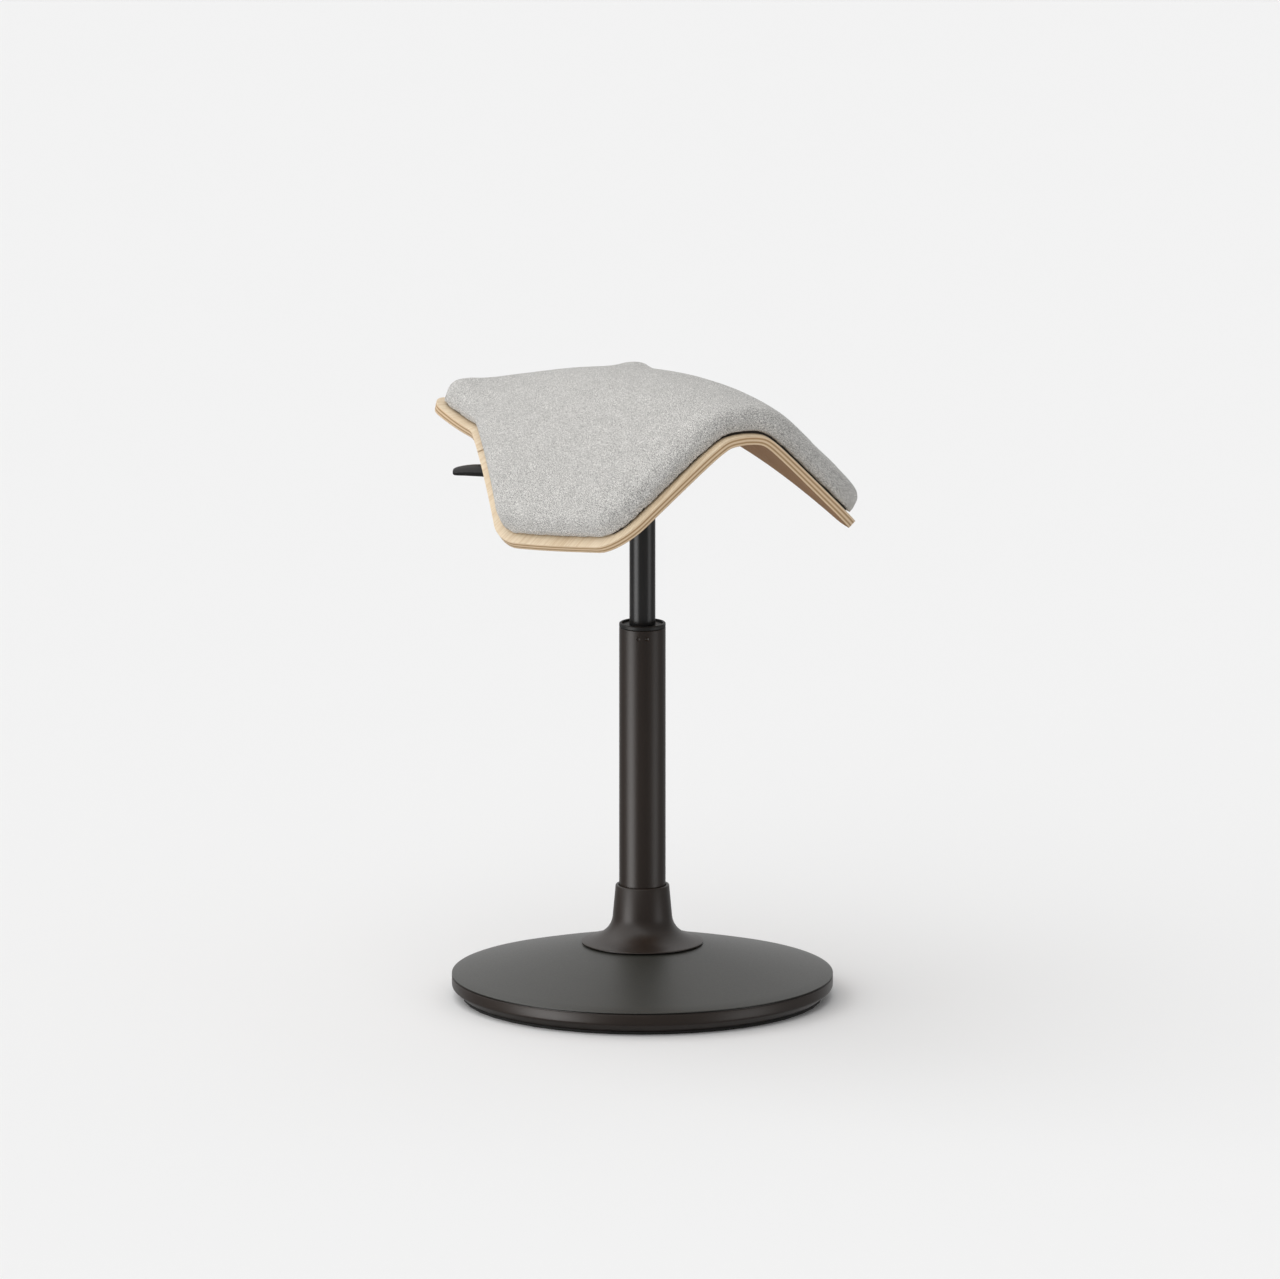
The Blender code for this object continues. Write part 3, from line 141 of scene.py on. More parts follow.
class PadSettings(bpy.types.PropertyGroup):
    """The upholstered pad and its felted cover."""

    thickness: length("Thickness", "Thickness before the cover swells", 0.0261)
    margin: length("Margin", "Plywood left bare round the pad", 0.0080)
    edge: length("Edge", "Rounding of the upper edge", 0.0140)
    foot: length("Foot", "Rounding where the cover tucks under", 0.0018)
    gap: length("Gap", "Height of the pad's underside over the plywood", 0.0016)
    voxel: length("Voxel", "Size of the cover's faces before it swells", 0.0042)
    pressure: number("Pressure", "Pressure of the foam on the cover", 4.0)
    reach: length("Reach", "How far the cover may swell", 0.0014)
    light_fibre: colour("Light Fibre", "Pale wool fibres", "#e8e6e2")
    dark_fibre: colour("Dark Fibre", "Grey wool fibres", "#7c7b79")


class BaseSettings(bpy.types.PropertyGroup):
    """The disc base under its shallow cover."""

    bevel_width: length("Bevel Width", "How far the foot is set in", 0.0115)
    bevel_height: length("Bevel Height", "Height of the sloping foot", 0.0092)
    wall: length("Wall", "Thickness of the pan's wall", 0.0025)
    lip: length("Lip", "Width of the flange that the cover rests on", 0.009)
    bore: length("Bore", "Radius of the hole in the pan", 0.014)
    sheet: length("Sheet", "Thickness of the cover", 0.0015)
    rise: length("Rise", "Rise of the cover from the rim to the collar", 0.0324)
    crown: length("Crown", "Bulge of the cover between rim and collar", 0.001)
    cover_bore: length("Cover Bore", "Radius of the hole in the cover", 0.036)
    rounding: length("Rounding", "Rounding of pressed edges", 0.0009)
    seam: length("Seam", "Height and depth of the groove under the cover's edge", 0.0008)
    coat: colour("Coat", "Fine textured powder coat of the cover", "#2b2b26")


class ColumnSettings(bpy.types.PropertyGroup):
    """The collar, the outer tube, its guide bush and the gas cylinder."""

    neck: lengths("Neck", "Radius and height of the collar's neck", (0.0318, 0.032))
    collar_top: length("Collar Top", "Radius of the collar's upper edge", 0.0288)
    elbow: lengths("Elbow", "Radius and height that the flare bends towards", (0.0328, 0.009))
    edge: length("Edge", "Upright edge of the collar's flange", 0.001)
    undercut: lengths("Undercut", "Height and depth of the gap under the flange", (0.0015, 0.004))
    wall: length("Wall", "Thickness of the collar's wall", 0.002)
    lip: length("Lip", "Height of the collar's upper lip", 0.003)
    gap: length("Gap", "Gap between collar and tube", 0.0007)
    tube_wall: length("Tube Wall", "Thickness of the outer tube's wall", 0.002)
    tube_taper: lengths("Tube Taper", "Depth and height of the taper at the tube's foot", (0.0008, 0.085))
    tube_floor: lengths("Tube Floor", "Thickness of the tube's floor and radius of its hole", (0.003, 0.0043))
    dent_drop: length("Dent Drop", "Distance of the crimp dents under the tube's top", 0.0085)
    dent_spread: length("Dent Spread", "Distance between the two dents of a pair", 0.0092)
    dent_radius: length("Dent Radius", "Radius of the punch that made a dent", 0.0028)
    rim: lengths("Rim", "Width of the guide bush's rim and depth of the recess in it", (0.0028, 0.0022))
    cylinder_wall: length("Cylinder Wall", "Thickness of the gas cylinder's wall", 0.0018)
    cylinder_taper: lengths("Cylinder Taper", "Depth and height of the taper at its top", (0.0006, 0.045))
    cylinder_head: lengths("Cylinder Head", "Height of the solid head and radius of its bore", (0.028, 0.006))
    socket_flange: lengths("Socket Flange", "Width and height of the taper socket's flange", (0.004, 0.005))
    rounding: length("Rounding", "Rounding of cut edges", 0.0006)
    coat: colour("Coat", "Satin powder coat", "#261c15")
    gloss: colour("Gloss", "Black enamel of the gas cylinder", "#262626")


class LeverSettings(bpy.types.PropertyGroup):
    """The height lever: a bent rod with a moulded paddle."""

    heading: angle("Heading", "Direction of the paddle", 134.6)
    reach: length("Reach", "From the pivot to the paddle's tip", 0.1796)
    drop: length("Drop", "How far the paddle hangs under the pivot", 0.0352)
    start_run: length("Start Run", "Straight pull of the bend at the pivot", 0.041)
    end_run: length("End Run", "Straight pull of the bend at the paddle", 0.060)
    rod: length("Rod", "Radius of the rod", 0.0045)
    barrel: length("Barrel", "Radius of the barrel on the pivot pin", 0.007)
    cheek: length("Cheek", "From the housing's outer face to the barrel's end", 0.0036)
    tongue: lengths("Tongue", "Width and height of the tongue on the valve", (0.014, 0.005))
    grip: length("Grip", "How far the rod goes into the paddle", 0.026)
    paddle: lengths("Paddle", "Length, width and height of the paddle", (0.052, 0.020, 0.0124))
    tip_drop: length("Tip Drop", "How far the paddle's tip curves down", 0.0038)
    plastic: colour("Plastic", "Moulded nylon", "#1d1c1b")


class StageSettings(bpy.types.PropertyGroup):
    """Floor, light and camera."""

    azimuth: angle("Azimuth", "Turn of the camera", -26)
    elevation: angle("Elevation", "Height of the camera over the horizon", 12.03)
    lens: number("Lens", "Focal length in millimetres", 1400.0)
    field: length("Field", "Width of the view at the column", 1.3749)
    aim: lengths("Aim", "Height of the view's middle, and its shift to the right", (0.392, -0.0026))
    floor: colour("Floor", "Pale studio floor", "#efefef")
    ceiling: number("Ceiling", "Brightness of the large soft light overhead", 0.27)
    backdrop: number("Backdrop", "Brightness of the pale sweep behind", 0.72)
    room: number("Room", "Brightness of the room round the set", 0.25)
    strips: numbers("Strips", "Brightness of the soft strip lights on the left and the right", (4.8, 1.9))
    fill: number("Fill", "Brightness of the soft fill on the right", 0.07)
    key: number("Key", "Brightness of the large light on the left", 2.0)
    sweep: number("Sweep", "Tone of the sweep beyond the floor", 0.88)


class StoolSettings(bpy.types.PropertyGroup):
    """All settings of the stool's look."""

    form: bpy.props.PointerProperty(type=SaddleForm)
    plywood: bpy.props.PointerProperty(type=PlywoodSettings)
    pad: bpy.props.PointerProperty(type=PadSettings)
    base: bpy.props.PointerProperty(type=BaseSettings)
    column: bpy.props.PointerProperty(type=ColumnSettings)
    lever: bpy.props.PointerProperty(type=LeverSettings)
    stage: bpy.props.PointerProperty(type=StageSettings)


def add_node(tree, kind, inputs=None, **settings):
    """Adds a node with its settings. An input that is given another node's socket is linked to it."""
    node = tree.nodes.new(kind)
    for name, value in settings.items():
        setattr(node, name, value)
    for name, value in (inputs or {}).items():
        if isinstance(value, bpy.types.NodeSocket):
            tree.links.new(value, node.inputs[name])
        else:
            node.inputs[name].default_value = value
    return node


def noise(tree, place, scale, detail=2.0, **others):
    """A noise value. Three scales draw the pattern out along the axes."""
    if isinstance(scale, tuple):
        place = add_node(tree, "ShaderNodeMapping", {"Vector": place, "Scale": scale}).outputs[0]
        scale = 1.0
    inputs = {"Vector": place, "Scale": scale, "Detail": detail, **others}
    return add_node(tree, "ShaderNodeTexNoise", inputs).outputs[0]


def ramp(tree, value, low=0.0, high=1.0, start=0.0, end=1.0, **settings):
    """A value that runs from start to end while the given one runs from low to high."""
    limits = {"From Min": low, "From Max": high, "To Min": start, "To Max": end}
    return add_node(tree, "ShaderNodeMapRange", {"Value": value, **limits}, **settings).outputs[0]


def blend(tree, share, first, second):
    """A colour between two others."""
    return add_node(tree, "ShaderNodeMix", {0: share, 6: first, 7: second}, data_type="RGBA").outputs[2]


def reckon(tree, operation, *values, **settings):
    """The result of a calculation with values."""
    node = add_node(tree, "ShaderNodeMath", dict(enumerate(values)), operation=operation, **settings)
    return node.outputs[0]


def start_material(name, **shader_values):
    """A material with its shader and the coordinates of its piece."""
    material = bpy.data.materials.new(name)
    material.use_nodes = True
    tree = material.node_tree
    shader = tree.nodes["Principled BSDF"]
    for socket, value in shader_values.items():
        shader.inputs[socket.replace("_", " ").title().replace("Ior", "IOR")].default_value = value
    place = add_node(tree, "ShaderNodeTexCoord").outputs["Object"]
    return material, tree, shader, place


def wire(tree, shader, tone, gloss, height, strength, distance, invert=False):
    """Gives a shader its colour, its roughness where that varies, and the relief of its surface."""
    inputs = {"Height": height, "Strength": strength, "Distance": distance}
    relief = add_node(tree, "ShaderNodeBump", inputs, invert=invert).outputs[0]
    for socket, source in (("Base Color", tone), ("Roughness", gloss), ("Normal", relief)):
        if source is not None:
            tree.links.new(source, shader.inputs[socket])


def moulded_oak_plywood(settings):
    # Oak veneers glued in a curved press and lacquered: straight grain across the seat on the faces, with
    # short dark pores, and light and dark stripes on the edges, where every second veneer shows its end
    # grain.
    # The underside is duller, and its colour is painted darker and browner as painted shade. The real pores
    # are 0.3 mm wide and the grain lines and veneers 1 to 1.4 mm, so they are drawn coarser.
    ply = settings.plywood
    material, tree, shader, _ = start_material("Moulded Oak Plywood", ior=1.46)
    place = add_node(tree, "ShaderNodeAttribute", attribute_name="ply_place").outputs["Vector"]
    depth = add_node(tree, "ShaderNodeSeparateXYZ", {0: place}).outputs["Z"]
    lines = ramp(tree, noise(tree, place, (9, 480, 6), 3.0), 0.40, 0.70, end=0.75)
    figure = ramp(tree, noise(tree, place, (2.2, 38, 5), Distortion=0.6), 0.35, 0.75, end=0.30)
    pores = ramp(tree, noise(tree, place, (70, 900, 20)), 0.60, 0.72, end=0.45)
    streaks = reckon(tree, "ADD", lines, figure)
    marks = reckon(tree, "ADD", streaks, pores, use_clamp=True)
    face = blend(tree, marks, tuple(ply.veneer), tuple(ply.grain))
    turns = reckon(tree, "MULTIPLY_ADD", depth, math.pi * ply.plies, -math.pi / 2)
    end_grain = ramp(tree, reckon(tree, "COSINE", turns), 0.15, -0.45)
    edge = blend(tree, end_grain, tuple(ply.long_ply), tuple(ply.cross_ply))
    on_edge = ramp(tree, reckon(tree, "PINGPONG", depth, 0.5), 0.02, 0.10)
    underneath = ramp(tree, depth, 0.96, 0.99)
    shaded = ramp(tree, marks, start=1.0, end=0.8)
    # Painted shade: the underside takes the darker brown colour, darkened further along the grain marks
    shaded_underside = {0: tuple(ply.shaded_underside)[:3], "Scale": shaded}
    back = add_node(tree, "ShaderNodeVectorMath", shaded_underside, operation="SCALE").outputs[0]
    wood = blend(tree, on_edge, blend(tree, underneath, face, back), edge)
    lacquer = ramp(tree, underneath, start=0.5, end=0.05)
    tree.links.new(lacquer, shader.inputs["Specular IOR Level"])
    gloss = ramp(tree, marks, start=0.44, end=0.60)
    wire(tree, shader, wood, gloss, marks, 0.25, 0.0003, invert=True)
    return material


def felted_melange_wool(settings):
    # Grey and white wool spun together, woven and felted: a fine salt-and-pepper speckle, no shine, and
    # a soft pale bloom where the nap is seen edge on. The fibres are far under 1 mm, so the speckle is
    # drawn 0.9 mm wide, as the yarn's colour changes.
    pad = settings.pad
    material, tree, shader, place = start_material(
        "Felted Melange Wool", roughness=0.92, sheen_weight=0.08, sheen_roughness=0.45, ior=1.4
    )
    yarn = noise(tree, place, 1150.0, Roughness=0.7)
    nap = noise(tree, place, 1300.0, 1.0)
    speckle = ramp(tree, yarn, 0.41, 0.59)
    cloud = ramp(tree, noise(tree, place, 60.0), 0.3, 0.7, start=0.85)
    light = reckon(tree, "MULTIPLY", speckle, cloud)
    wool = blend(tree, light, tuple(pad.dark_fibre), tuple(pad.light_fibre))
    wire(tree, shader, wool, None, reckon(tree, "ADD", yarn, nap), 0.35, 0.0006)
    return material


def powder_coat(name, shade, smooth, rough, peel, relief, ior=1.5):
    """A baked powder coat: even colour, a fine orange peel of the given width, and a satin gloss."""
    material, tree, shader, place = start_material(name, ior=ior)
    grains = noise(tree, place, 1 / peel, Roughness=0.6)
    drift = ramp(tree, noise(tree, place, 22.0, 3.0), 0.3, 0.7)
    dark = tuple(0.95 * part for part in shade[:3]) + (1.0,)
    light = tuple(1.05 * part for part in shade[:3]) + (1.0,)
    gloss = ramp(tree, grains, start=smooth, end=rough)
    wire(tree, shader, blend(tree, drift, dark, light), gloss, grains, relief, 0.0003)
    return material


def satin_powder_coat(settings):
    # Brown-black polyester powder baked on steel: soft long highlights and a faint orange peel.
    return powder_coat("Satin Black Powder Coat", settings.column.coat, 0.34, 0.46, 0.0016, 0.06)


def textured_powder_coat(settings):
    # Graphite powder with a fine grain, baked on the pressed cover: a matt, slightly sparkling grey.
    return powder_coat("Fine Textured Powder Coat", settings.base.coat, 0.36, 0.50, 0.0018, 0.12, 1.62)


def black_enamel(settings):
    # Stoving enamel on the drawn gas cylinder: near black with narrow bright highlights.
    return powder_coat("Black Stoving Enamel", settings.column.gloss, 0.26, 0.34, 0.0040, 0.03, 1.4)


def moulded_nylon(settings):
    # Black nylon from a spark-eroded mould: an even fine grain that spreads highlights into a grey bloom.
    return powder_coat("Moulded Black Nylon", settings.lever.plastic, 0.40, 0.55, 0.0012, 0.12, 1.42)


def vulcanised_rubber(settings):
    # Vulcanised rubber: matt, a little dusty, with a soft cloudy bloom.
    return powder_coat("Vulcanised Rubber", linear("#1c1b1a"), 0.78, 0.92, 0.0025, 0.20)


def metal(name, dark_code, light_code, smooth, rough, stretch):
    """A bare metal whose marks are drawn out along one axis."""
    material, tree, shader, place = start_material(name, metallic=1.0)
    marks = noise(tree, place, stretch, 3.0)
    skin = blend(tree, ramp(tree, marks, 0.3, 0.7), linear(dark_code), linear(light_code))
    wire(tree, shader, skin, ramp(tree, marks, start=smooth, end=rough), marks, 0.08, 0.0002)
    return material


def zinc_plate(settings):
    # Bright zinc on turned steel: a cool grey with cloudy patches of 3 mm.
    return metal("Zinc Plated Steel", "#9a9da1", "#c9cbcc", 0.26, 0.42, (330, 330, 330))


def ground_steel(settings):
    # Steel ground round its axis: a clear reflection crossed by fine rings 0.8 mm apart.
    return metal("Ground Steel", "#a3a4a6", "#d2d3d4", 0.14, 0.30, (60, 60, 1250))


def hot_rolled_steel(settings):
    # Steel plate as rolled: dull blue-grey mill scale in patches of 8 mm.
    return metal("Hot Rolled Steel", "#4a4b4e", "#77777a", 0.48, 0.70, (125, 125, 125))


def turned_brass(settings):
    # Brass off the lathe: warm yellow with fine turning rings.
    return metal("Turned Brass", "#a8813a", "#d3b267", 0.20, 0.36, (80, 80, 1250))


def birch_board(settings):
    # Sawn birch plywood coloured near black as painted shade, so that the joint under the pad stays dark:
    # fine lines 1.5 mm apart along its length show through the dark colour.
    material, tree, shader, place = start_material("Birch Board Darkened As Painted Shade", roughness=0.7, ior=1.5)
    lines = ramp(tree, noise(tree, place, (660, 14, 660), 3.0), 0.35, 0.7)
    # Painted shade: the board's near-black colour stands for the shadow in the joint under the pad
    wood = blend(tree, lines, linear("#2e2823"), linear("#1f1b18"))
    tree.links.new(wood, shader.inputs["Base Color"])
    return material


MAKERS = {
    "oak_ply": moulded_oak_plywood,
    "grey_felted_fabric": felted_melange_wool,
    "foam": felted_melange_wool,
    "black_powder_coat": satin_powder_coat,
    "graphite_powder_coat": textured_powder_coat,
    "black_cylinder": black_enamel,
    "black_plastic": moulded_nylon,
    "rubber": vulcanised_rubber,
    "zinc_steel": zinc_plate,
    "ground_steel": ground_steel,
    "ballast_steel": hot_rolled_steel,
    "brass": turned_brass,
    "birch_board": birch_board,
}
finishes = {}


def finish_for(slot):
    """The material of a finish, made the first time it is asked for."""
    if slot not in finishes:
        finishes[slot] = MAKERS[slot](bpy.context.scene.saddle_stool)
    return finishes[slot]


def deselect():
    bpy.ops.object.select_all(action="DESELECT")


def choose(piece):
    """Makes a piece the only selected and active one."""
    deselect()
    piece.select_set(True)
    bpy.context.view_layer.objects.active = piece


def named(name):
    """Names the piece that was just added."""
    piece = bpy.context.object
    piece.name = name
    piece.data.name = name
    return piece


def edit(piece):
    choose(piece)
    bpy.ops.object.mode_set(mode="EDIT")


def leave_edit():
    bpy.ops.object.mode_set(mode="OBJECT")


def pick(piece, kind, test):
    """Selects the points, edges or faces of a piece in edit mode that pass the test."""
    bpy.ops.mesh.select_mode(type=kind)
    bpy.ops.mesh.select_all(action="DESELECT")
    mesh = bmesh.from_edit_mesh(piece.data)
    parts = {"VERT": mesh.verts, "EDGE": mesh.edges, "FACE": mesh.faces}[kind]
    count = 0
    for part in parts:
        if test(part):
            part.select_set(True)
            count += 1
    if not count:
        raise RuntimeError(f"nothing to select on {piece.name}")
    mesh.select_flush_mode()
    bmesh.update_edit_mesh(piece.data)


def slice_at(place, direction):
    """Cuts all of the piece in edit mode along a plane, with no gap."""
    bpy.ops.mesh.select_all(action="SELECT")
    bpy.ops.mesh.bisect(plane_co=place, plane_no=direction)


def apply_modifier(piece, kind, **settings):
    modifier = piece.modifiers.new(kind.title(), kind)
    for name, value in settings.items():
        setattr(modifier, name, value)
    choose(piece)
    bpy.ops.object.modifier_apply(modifier=modifier.name)


def round_edges(piece, width, degrees, **settings):
    """Rounds the edges at which the surface turns by more than an angle."""
    limit = math.radians(degrees)
    apply_modifier(
        piece, "BEVEL", width=width, segments=2, limit_method="ANGLE", angle_limit=limit, **settings
    )


def points_of(piece):
    points = np.empty(3 * len(piece.data.vertices))
    piece.data.vertices.foreach_get("co", points)
    return points.reshape(-1, 3)


def set_points(piece, points):
    piece.data.vertices.foreach_set("co", np.ascontiguousarray(points).ravel())
    piece.data.update()


def finish(piece, body, nodes, slot, smooth=35):
    """Shades a finished piece, gives it its material and body, and hides the CAD nodes that it stands for."""
    choose(piece)
    bpy.ops.object.shade_smooth_by_angle(angle=math.radians(smooth))
    piece.data.materials.clear()
    piece.data.materials.append(finish_for(slot))
    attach(piece, body)
    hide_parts(*nodes)
    deselect()


def turned(name, corners, steps=128):
    """A lathe piece: a closed section of corners, each a radius, a height and any rounding, spun round."""
    deselect()
    bpy.ops.mesh.primitive_circle_add(vertices=len(corners), radius=0.1)
    piece = named(name)
    for point, (radius, height, *_) in zip(piece.data.vertices, corners):
        point.co = (radius, 0, height)
    edit(piece)
    for radius, height, *rounding in corners:
        if rounding:
            corner = Vector((radius, 0, height))
            pick(piece, "VERT", lambda point: (point.co - corner).length < 1e-6)
            bpy.ops.mesh.bevel(offset=rounding[0], segments=3, affect="VERTICES")
    bpy.ops.mesh.select_all(action="SELECT")
    bpy.ops.mesh.spin(steps=steps, angle=math.tau, center=(0, 0, 0), axis=(0, 0, 1))
    bpy.ops.mesh.select_all(action="SELECT")
    bpy.ops.mesh.remove_doubles(threshold=1e-5)
    bpy.ops.mesh.normals_make_consistent(inside=False)
    leave_edit()
    return piece


def carve(piece, cutter):
    """Cuts another shape out of the piece and takes the cutter away."""
    apply_modifier(piece, "BOOLEAN", operation="DIFFERENCE", solver="EXACT", object=cutter)
    bpy.data.objects.remove(cutter)


def copy_of(piece, name):
    """A copy of a piece with its own mesh."""
    copy = piece.copy()
    copy.data = piece.data.copy()
    copy.name = name
    copy.data.name = name
    bpy.context.scene.collection.objects.link(copy)
    return copy


def stations(values, form, y):
    """A parabola through the values at the seat's rear, middle and front."""
    rear, middle, front = values
    whole = form.rear + form.front
    return (
        rear * y * (y + form.front) / (form.rear * whole)
        + middle * (form.rear - y) * (y + form.front) / (form.rear * form.front)
        + front * y * (y - form.rear) / (form.front * whole)
    )


def seat_height(form, x, y):
    """The plywood's top face: a flat ridge, a straight wing on each side, and rear corners that turn up."""
    flat = stations(form.flat, form, y)
    bend = form.bend_front + (form.bend_rear - form.bend_front) * (y + form.front) / (form.rear + form.front)
    past = np.abs(x) - flat
    fall = np.hypot(past, bend) + past - (np.hypot(flat, bend) - flat)
    rise, start = form.corner_rise
    past_waist = np.maximum(y - start, 0) / (form.rear - start)
    lift = rise * (past_waist * x / form.rear_corner[0]) ** 2
    return stations(form.ridge, form, y) - stations(form.slope, form, y) * fall / 2 + lift


def seat_normal(form, x, y):
    step = 0.0005
    fall_x = (seat_height(form, x - step, y) - seat_height(form, x + step, y)) / (2 * step)
    fall_y = (seat_height(form, x, y - step) - seat_height(form, x, y + step)) / (2 * step)
    normal = np.stack([fall_x, fall_y, np.ones_like(fall_x)], axis=-1)
    return normal / np.linalg.norm(normal, axis=-1, keepdims=True)


def on_seat(form, flat_points):
    """Bends flat points over the seat: their height becomes the lift along the plywood's normal."""
    x, y, lift = flat_points.T
    top = np.stack([x, y, seat_height(form, x, y)], axis=-1)
    return top + lift[:, None] * seat_normal(form, x, y)


def off_seat(form, points):
    """Lays bent points flat again, the reverse of on_seat."""
    rounds = 12
    x, y = points[:, 0].copy(), points[:, 1].copy()
    for _ in range(rounds):
        normal = seat_normal(form, x, y)
        foot = np.stack([x, y, seat_height(form, x, y)], axis=-1)
        lift = np.sum((points - foot) * normal, axis=-1)
        x = points[:, 0] - lift * normal[:, 0]
        y = points[:, 1] - lift * normal[:, 1]
    return np.stack([x, y, lift], axis=-1)


def outline_corners(form, inset):
    """The seat's corners drawn in by an inset, with the length that each rounding takes off its edges."""
    right = [form.nose, form.wing_front, form.wing_rear, form.waist, form.rear_corner]
    corners = [Vector(corner) for corner in right]
    corners += [Vector((-x, y, rounding)) for x, y, rounding in reversed(right)]
    drawn = []
    for i, corner in enumerate(corners):
        arriving = (corner.xy - corners[i - 1].xy).normalized()
        leaving = (corners[(i + 1) % len(corners)].xy - corner.xy).normalized()
        inward = Vector((-arriving.y - leaving.y, arriving.x + leaving.x))
        place = corner.xy + inset * inward / (1 + arriving.dot(leaving))
        hollow = arriving.cross(leaving) < 0
        radius = max(corner.z + (inset if hollow else -inset), form.least_rounding)
        drawn.append((place, radius * math.tan(arriving.angle(leaving) / 2)))
    return drawn


def seat_panel(name, form, inset):
    """The seat's flat outline as a panel with rounded corners, left in edit mode."""
    corners = outline_corners(form, inset)
    deselect()
    bpy.ops.mesh.primitive_circle_add(vertices=len(corners), radius=form.rear, fill_type="NGON")
    panel = named(name)
    for point, (place, _) in zip(panel.data.vertices, corners):
        point.co = (*place, 0)
    edit(panel)
    for place, cut in corners:
        pick(panel, "VERT", lambda point: (point.co.xy - place).length < 1e-6)
        bpy.ops.mesh.bevel(offset=cut, segments=8, affect="VERTICES")
    return panel


def cut_grid(form, grid):
    """Cuts the piece in edit mode into a grid, finer over the bends, so that it can follow the seat."""
    x = 0.0
    while x < form.wing_rear[0]:
        for side in {x, -x}:
            slice_at((side, 0, 0), (1, 0, 0))
        x += grid / 2 if x < BEND_ZONE else grid
    rows = round((form.front + form.rear) / grid)
    for i in range(1, rows):
        y = -form.front + (form.front + form.rear) * i / rows
        slice_at((0, y, 0), (0, 1, 0))


def rim_of(panel):
    """The edges of a flat panel's outline: both ends of each, and the middle of the face inside it."""
    mesh = bmesh.from_edit_mesh(panel.data)
    rim = [
        [*edge.verts[0].co.xy, *edge.verts[1].co.xy, *edge.link_faces[0].calc_center_median().xy]
        for edge in mesh.edges
        if edge.is_boundary
    ]
    return np.array(rim)


def nearest_on_rim(rim, places):
    """The nearest point of an outline to each place, and the direction that leads out there."""
    start, end, inside = rim[:, :2], rim[:, 2:4], rim[:, 4:]
    along = end - start
    out = np.stack([along[:, 1], -along[:, 0]], axis=1)
    out /= np.linalg.norm(out, axis=1, keepdims=True)
    out *= -np.sign(np.sum((inside - start) * out, axis=1, keepdims=True))
    offset = places[:, None] - start
    share = np.clip(np.sum(offset * along, axis=2) / np.sum(along**2, axis=1), 0, 1)
    near = start + share[..., None] * along
    best = np.linalg.norm(places[:, None] - near, axis=2).argmin(axis=1)
    return near[np.arange(len(places)), best], out[best]


class SADDLESTOOL_OT_plywood_shell(bpy.types.Operator):
    """Moulds the plywood seat shell with its striped edges and relief slits"""

    bl_idname = "saddlestool.plywood_shell"
    bl_label = "Plywood Shell"

    def execute(self, context):
        settings = context.scene.saddle_stool
        form, ply = settings.form, settings.plywood
        shell = seat_panel("plywood_shell", form, 0.0)
        cut_grid(form, ply.grid)
        leave_edit()
        set_points(shell, on_seat(form, points_of(shell)))
        apply_modifier(shell, "SOLIDIFY", thickness=ply.thickness, offset=-1.0, use_even_offset=True)
        round_edges(shell, ply.edge, 55)
        waist, wing = Vector(form.waist).xy, Vector(form.wing_rear).xy
        share = (waist.y - ply.slit_place) / (waist.y - wing.y)
        edge_x = waist.x + share * (wing.x - waist.x)
        edge_turn = math.atan2(wing.x - waist.x, waist.y - wing.y)
        edge_z = float(seat_height(form, np.array(edge_x), np.array(ply.slit_place)))
        for side in (-1, 1):
            deselect()
            bpy.ops.mesh.primitive_cube_add(
                size=1,
                location=(side * edge_x, ply.slit_place, edge_z),
                rotation=(0, 0, side * edge_turn),
                scale=(2 * ply.slit_length, ply.slit_width, 6 * ply.thickness),
            )
            carve(shell, named("relief_slit"))
        flat = off_seat(form, points_of(shell))
        flat[:, 2] = np.clip(-flat[:, 2] / ply.thickness, 0, 1)
        place = shell.data.attributes.new("ply_place", "FLOAT_VECTOR", "POINT")
        place.data.foreach_set("vector", np.ascontiguousarray(flat).ravel())
        finish(shell, "seat", ["seat_shell"], "oak_ply", smooth=45)
        return {"FINISHED"}


